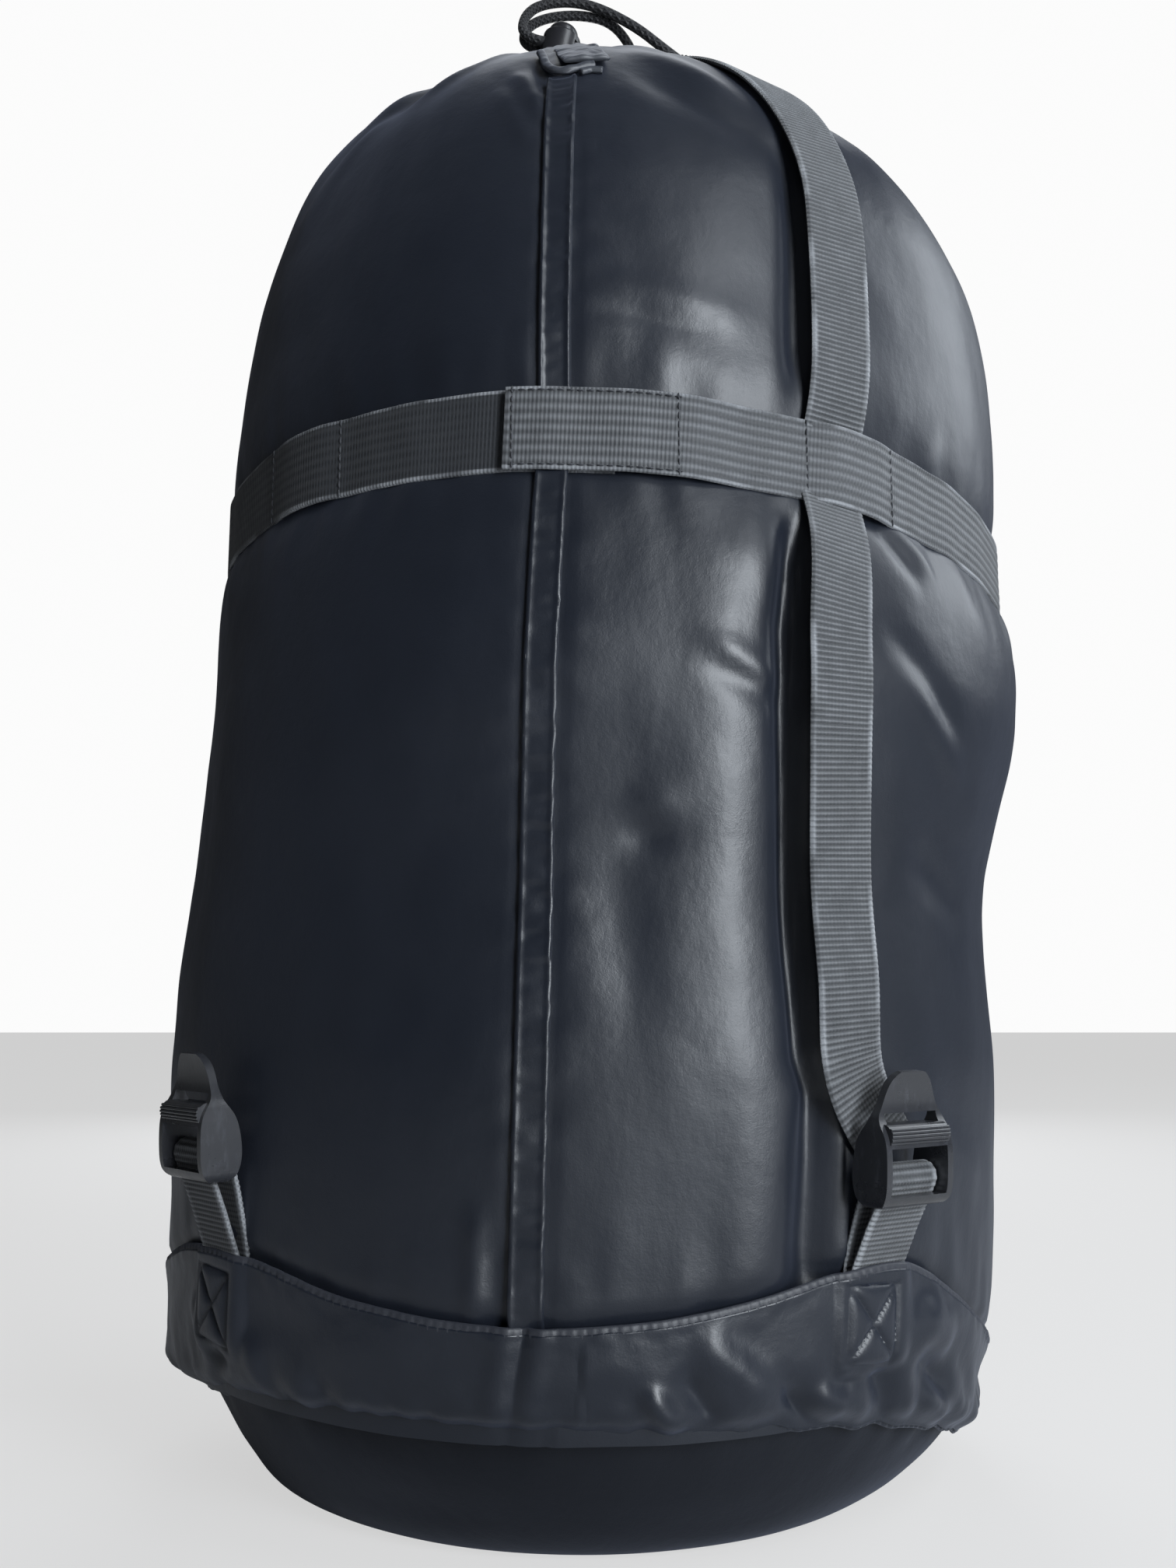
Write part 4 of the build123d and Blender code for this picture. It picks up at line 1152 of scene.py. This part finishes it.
def make_tab_stitches():
    """The stitched box with a cross on the end of each tab sewn under the cap."""
    rows = []
    for _, azimuth, _ in CORNERS:
        corner = np.array([(azimuth + side / ARC, z) for side, z in BOX_X])
        for i, j in BOX_X_ROWS:
            course = corner[i] + (corner[j] - corner[i]) * np.linspace(0, 1, 10)[:, None]
            hits = [cap_facing(float(at), float(z)) for at, z in course]
            rows.append((np.array([hit[0] for hit in hits]), np.array([hit[1] for hit in hits]), 2.7))
    seams = stitch_rows("tab_box_stitches", rows, 2.1, 0.3, sunk=-0.08)
    finish_piece(seams, None, "base", "thread", "tab_stitching")


make_tab_stitches()

# ---- the gathered mouth ----
HEM_RING = 11.5              # radius of the drawn hem's ring
HEM_TUBE = 5.0               # radius of its rolled cloth
HEM_TILT = radians(26)
LOCK = np.array([-10.5, -52.0, 503.5])
LOCK_LEAN = radians(12)
LOCK_AXIS = np.array([sin(LOCK_LEAN), 0.0, cos(LOCK_LEAN)])
LOCK_SIDE = np.array([cos(LOCK_LEAN), 0.0, -sin(LOCK_LEAN)])
LOCK_FOOT = -9.8             # just under the barrel's closed end, along its axis
LOCK_CUP = 7.8               # radius of the flat that the barrel stands on


def make_hem():
    """The bunched hem channel: a fat pleated ring drawn tight round the cord."""
    n, m = 360, 40
    turn = np.linspace(0, 2 * pi, n, endpoint=False)[:, None]
    tube = np.linspace(0, 2 * pi, m, endpoint=False)[None]
    wobble = noise(np.degrees(turn) / 18 + 20, 0.0, 81, 20)
    pleat = np.cos(19 * turn + 1.6 * wobble)
    ring = HEM_RING + 0.9 * noise(np.degrees(turn) / 60 + 6, 0.0, 83, 6)
    thick = HEM_TUBE * (1 + 0.17 * pleat * (0.5 + 0.5 * np.cos(tube)) + 0.08 * np.cos(2 * tube))
    groove = 0.8 * bell(np.degrees(tube) - 318, 14)
    r = ring + thick * np.cos(tube) - groove
    x, y, z = r * np.sin(turn), -r * np.cos(turn), 1.25 * thick * np.sin(tube)
    place = np.stack([x, y * cos(HEM_TILT) - z * sin(HEM_TILT), y * sin(HEM_TILT) + z * cos(HEM_TILT)], -1)
    place = place + np.array([MOUTH[0] - 1.0, MOUTH[1] + 2.0, 493.0])
    # the cloth lies pressed under the cord lock and cups its foot
    from_lock = place - LOCK
    up = from_lock @ LOCK_AXIS
    beside = np.linalg.norm(from_lock - up[..., None] * LOCK_AXIS, axis=-1)
    seat = LOCK_FOOT + 3.0 * np.maximum(beside - LOCK_CUP, 0)
    place = place + (np.minimum(up, seat) - up)[..., None] * LOCK_AXIS
    hem = new_mesh("hem_bunch", place, grid_faces(n, m, looped=True))
    finish_piece(hem, cloth, "upper", "cloth", "hem_channel", "mouth_gathers")


make_hem()


def make_spring():
    """The cord lock's spring, built as one fixed coil; on the real lock it shortens as the button is pressed.
    """
    turns, coil, wire, low, high, rings, sides = 2.5, 3.6, 0.25, -7.8, -4.3, 120, 10
    t = np.linspace(0, 1, rings)[:, None]
    k = np.arange(sides)[None] * 2 * pi / sides
    turn = 2 * pi * turns * t
    reach = coil + wire * np.cos(k)
    up = low + (high - low) * t + wire * np.sin(k)
    points = LOCK + (reach * np.cos(turn))[..., None] * LOCK_SIDE + up[..., None] * LOCK_AXIS
    points = points + (reach * np.sin(turn))[..., None] * np.array([0.0, 1.0, 0.0])
    faces = grid_faces(rings, sides).tolist()
    faces.append(list(range(sides))[::-1])
    faces.append([(rings - 1) * sides + c for c in range(sides)])
    spring = new_mesh("lock_spring_coil", points, faces)
    finish_piece(spring, steel, "upper", "spring_steel", "cord_lock_spring")
    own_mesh(spring)


def dome_line(course, lift):
    """Points on the dome from (azimuth, q) pairs, with their normals, standing lift off the cloth."""
    hits = [over(azimuth, (q - DOME_Z) / RISE_STEP) for azimuth, q in course]
    return np.array([place + normal * lift for place, normal in hits]), np.array([hit[1] for hit in hits])


def make_hem_tab():
    """The folded flap below the mouth: it leaves the hem and lies over the dome, its lower end free."""
    t = np.linspace(0, 1, 24)
    places, normals = dome_line(zip(-6.0 + 3.3 * t, 489 - 42 * t), 0.4)
    rise = 1.5 * t ** 5 - 5.0 * (1 - t) ** 2
    places = evened(places, 2) + normals * rise[:, None]
    normals = evened(normals, 2)

    def puffed(s, x):
        crown = 0.7 * np.cos(pi * x / 17)
        crumple = 0.45 * noise(s / 6, x / 5, 91) + 0.35 * noise(s / 2.6, x / 3.5, 93)
        return crown + crumple

    strip = ribbon("hem_front_tab", places, normals, 15.2, 1.2, columns=30, top=puffed, edge=1.2)
    finish_piece(strip, tab_cloth_painted_light, "upper", "cloth", "hem_tab")


make_hem_tab()


def make_mouth_fold():
    """The rolled fold of the hem that hangs in a shallow U below the flap, and a short one across its end."""
    def crumpled(s, x):
        return 0.3 * noise(s / 3, x / 3, 95)

    long_fold = ((-10.9, 462), (-10.2, 457.5), (-9.2, 450.5), (-7.8, 445), (-5.8, 443), (-3.8, 445),
                 (-1.6, 446.5))
    places, normals = dome_line(long_fold, 0.2)
    _, (places, normals) = resampled(places, [normals], 1.2)
    roll = ribbon("mouth_rolled_fold", evened(places, 2), evened(normals, 2), 3.0, 2.3, columns=12,
                  top=crumpled, edge=1.4)
    finish_piece(roll, tab_cloth_painted_light, "upper", "cloth")
    short_fold = ((-3.6, 441.5), (-2.2, 443.2), (-0.4, 443.0))
    places, normals = dome_line(short_fold, 0.2)
    _, (places, normals) = resampled(places, [normals], 1.2)
    roll = ribbon("mouth_short_fold", places, normals, 2.4, 1.9, columns=12, edge=1.1)
    finish_piece(roll, tab_cloth_painted_light, "upper", "cloth")


make_mouth_fold()

# ---- CAD pieces that stay, with better materials ----
hard = plastic_material("lock_plastic", (0.016, 0.016, 0.019), 0.36)
steel = plastic_material("spring_wire", (0.28, 0.28, 0.30), 0.3)
steel.node_tree.nodes["Principled BSDF"].inputs["Metallic"].default_value = 1.0
held = cord_material("braided_cord_held")
make_spring()
kept = {"cord_lock_barrel": hard, "cord_lock_button": hard, "drawcord_held": held}
for corner_name, _, _ in CORNERS:
    kept["ladderlock_" + corner_name] = plastic
for node_name, material in kept.items():
    obj = bpy.data.objects[node_name]
    if obj.data.materials:
        for slot in range(len(obj.material_slots)):
            obj.material_slots[slot].material = material
    else:
        obj.data.materials.append(material)

# ---- cloth that crosses the joints ----
for piece in (sack, placket, placket_seams, *straps):
    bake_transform(piece)
for corner_name, azimuth, _ in CORNERS:
    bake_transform(tabs[corner_name])

# ---- floor and light ----
floor_mesh = bpy.data.meshes.new("floor")
floor_mesh.from_pydata([(-6, -6, 0), (6, -6, 0), (6, 6, 0), (-6, 6, 0)], [], [(0, 1, 2, 3)])
floor = bpy.data.objects.new("floor", floor_mesh)
bpy.context.collection.objects.link(floor)
pale = Nodes("pale_floor", (0.8, 0.8, 0.8), 0.9)
tone = pale.colour(pale.noise(4, 2), (0.49, 0.49, 0.49), (0.51, 0.51, 0.51))
pale.link(tone, pale.shader.inputs["Base Color"])
glow = pale.node("ShaderNodeEmission")
glow.inputs["Color"].default_value = (0.93, 0.93, 0.93, 1)
blend = pale.node("ShaderNodeMixShader")
rays = pale.node("ShaderNodeLightPath")
pale.link(pale.math("MULTIPLY", rays.outputs["Is Camera Ray"], 0.66), blend.inputs[0])
pale.link(pale.shader.outputs[0], blend.inputs[1])
pale.link(glow.outputs[0], blend.inputs[2])
pale.link(blend.outputs[0], pale.tree.nodes["Material Output"].inputs["Surface"])
floor.data.materials.append(pale.material)

world = bpy.data.worlds.new("studio")
world.use_nodes = True
sky = world.node_tree
ambient = sky.nodes["Background"]
ambient.inputs["Color"].default_value = (0.93, 0.96, 1.0, 1)
ambient.inputs["Strength"].default_value = 0.055
backdrop = sky.nodes.new("ShaderNodeBackground")
backdrop.inputs["Color"].default_value = (0.97, 0.97, 0.97, 1)
backdrop.inputs["Strength"].default_value = 1.0
choose = sky.nodes.new("ShaderNodeMixShader")
seen = sky.nodes.new("ShaderNodeLightPath")
sky.links.new(seen.outputs["Is Camera Ray"], choose.inputs[0])
sky.links.new(ambient.outputs[0], choose.inputs[1])
sky.links.new(backdrop.outputs[0], choose.inputs[2])
sky.links.new(choose.outputs[0], sky.nodes["World Output"].inputs["Surface"])
bpy.context.scene.world = world
# name, place, what it points at, width and height, watts and tint
LIGHTS = (
    ("front_right", (0.62, -1.01, 0.42), (0.02, 0.0, 0.22), (0.36, 0.75), 17.5, (0.89, 0.945, 1.0)),
    ("upper_right", (0.62, -0.72, 1.15), (0.05, -0.1, 0.36), (0.4, 0.35), 2.4, (0.89, 0.945, 1.0)),
    ("rear_fill", (-0.05, 1.3, 0.6), (0.0, 0.0, 0.25), (0.7, 0.7), 9, (0.95, 0.97, 1.0)),
    ("right_window", (1.5, 0.35, 1.15), (0.08, 0.0, 0.30), (1.1, 1.0), 13, (0.88, 0.94, 1.0)),
    ("top_back", (0.1, 0.62, 1.45), (0.0, -0.06, 0.45), (0.7, 0.6), 2.2, (0.92, 0.96, 1.0)),
)
for light in LIGHTS:
    area_light(*light)
bpy.context.scene.view_settings.view_transform = "Standard"
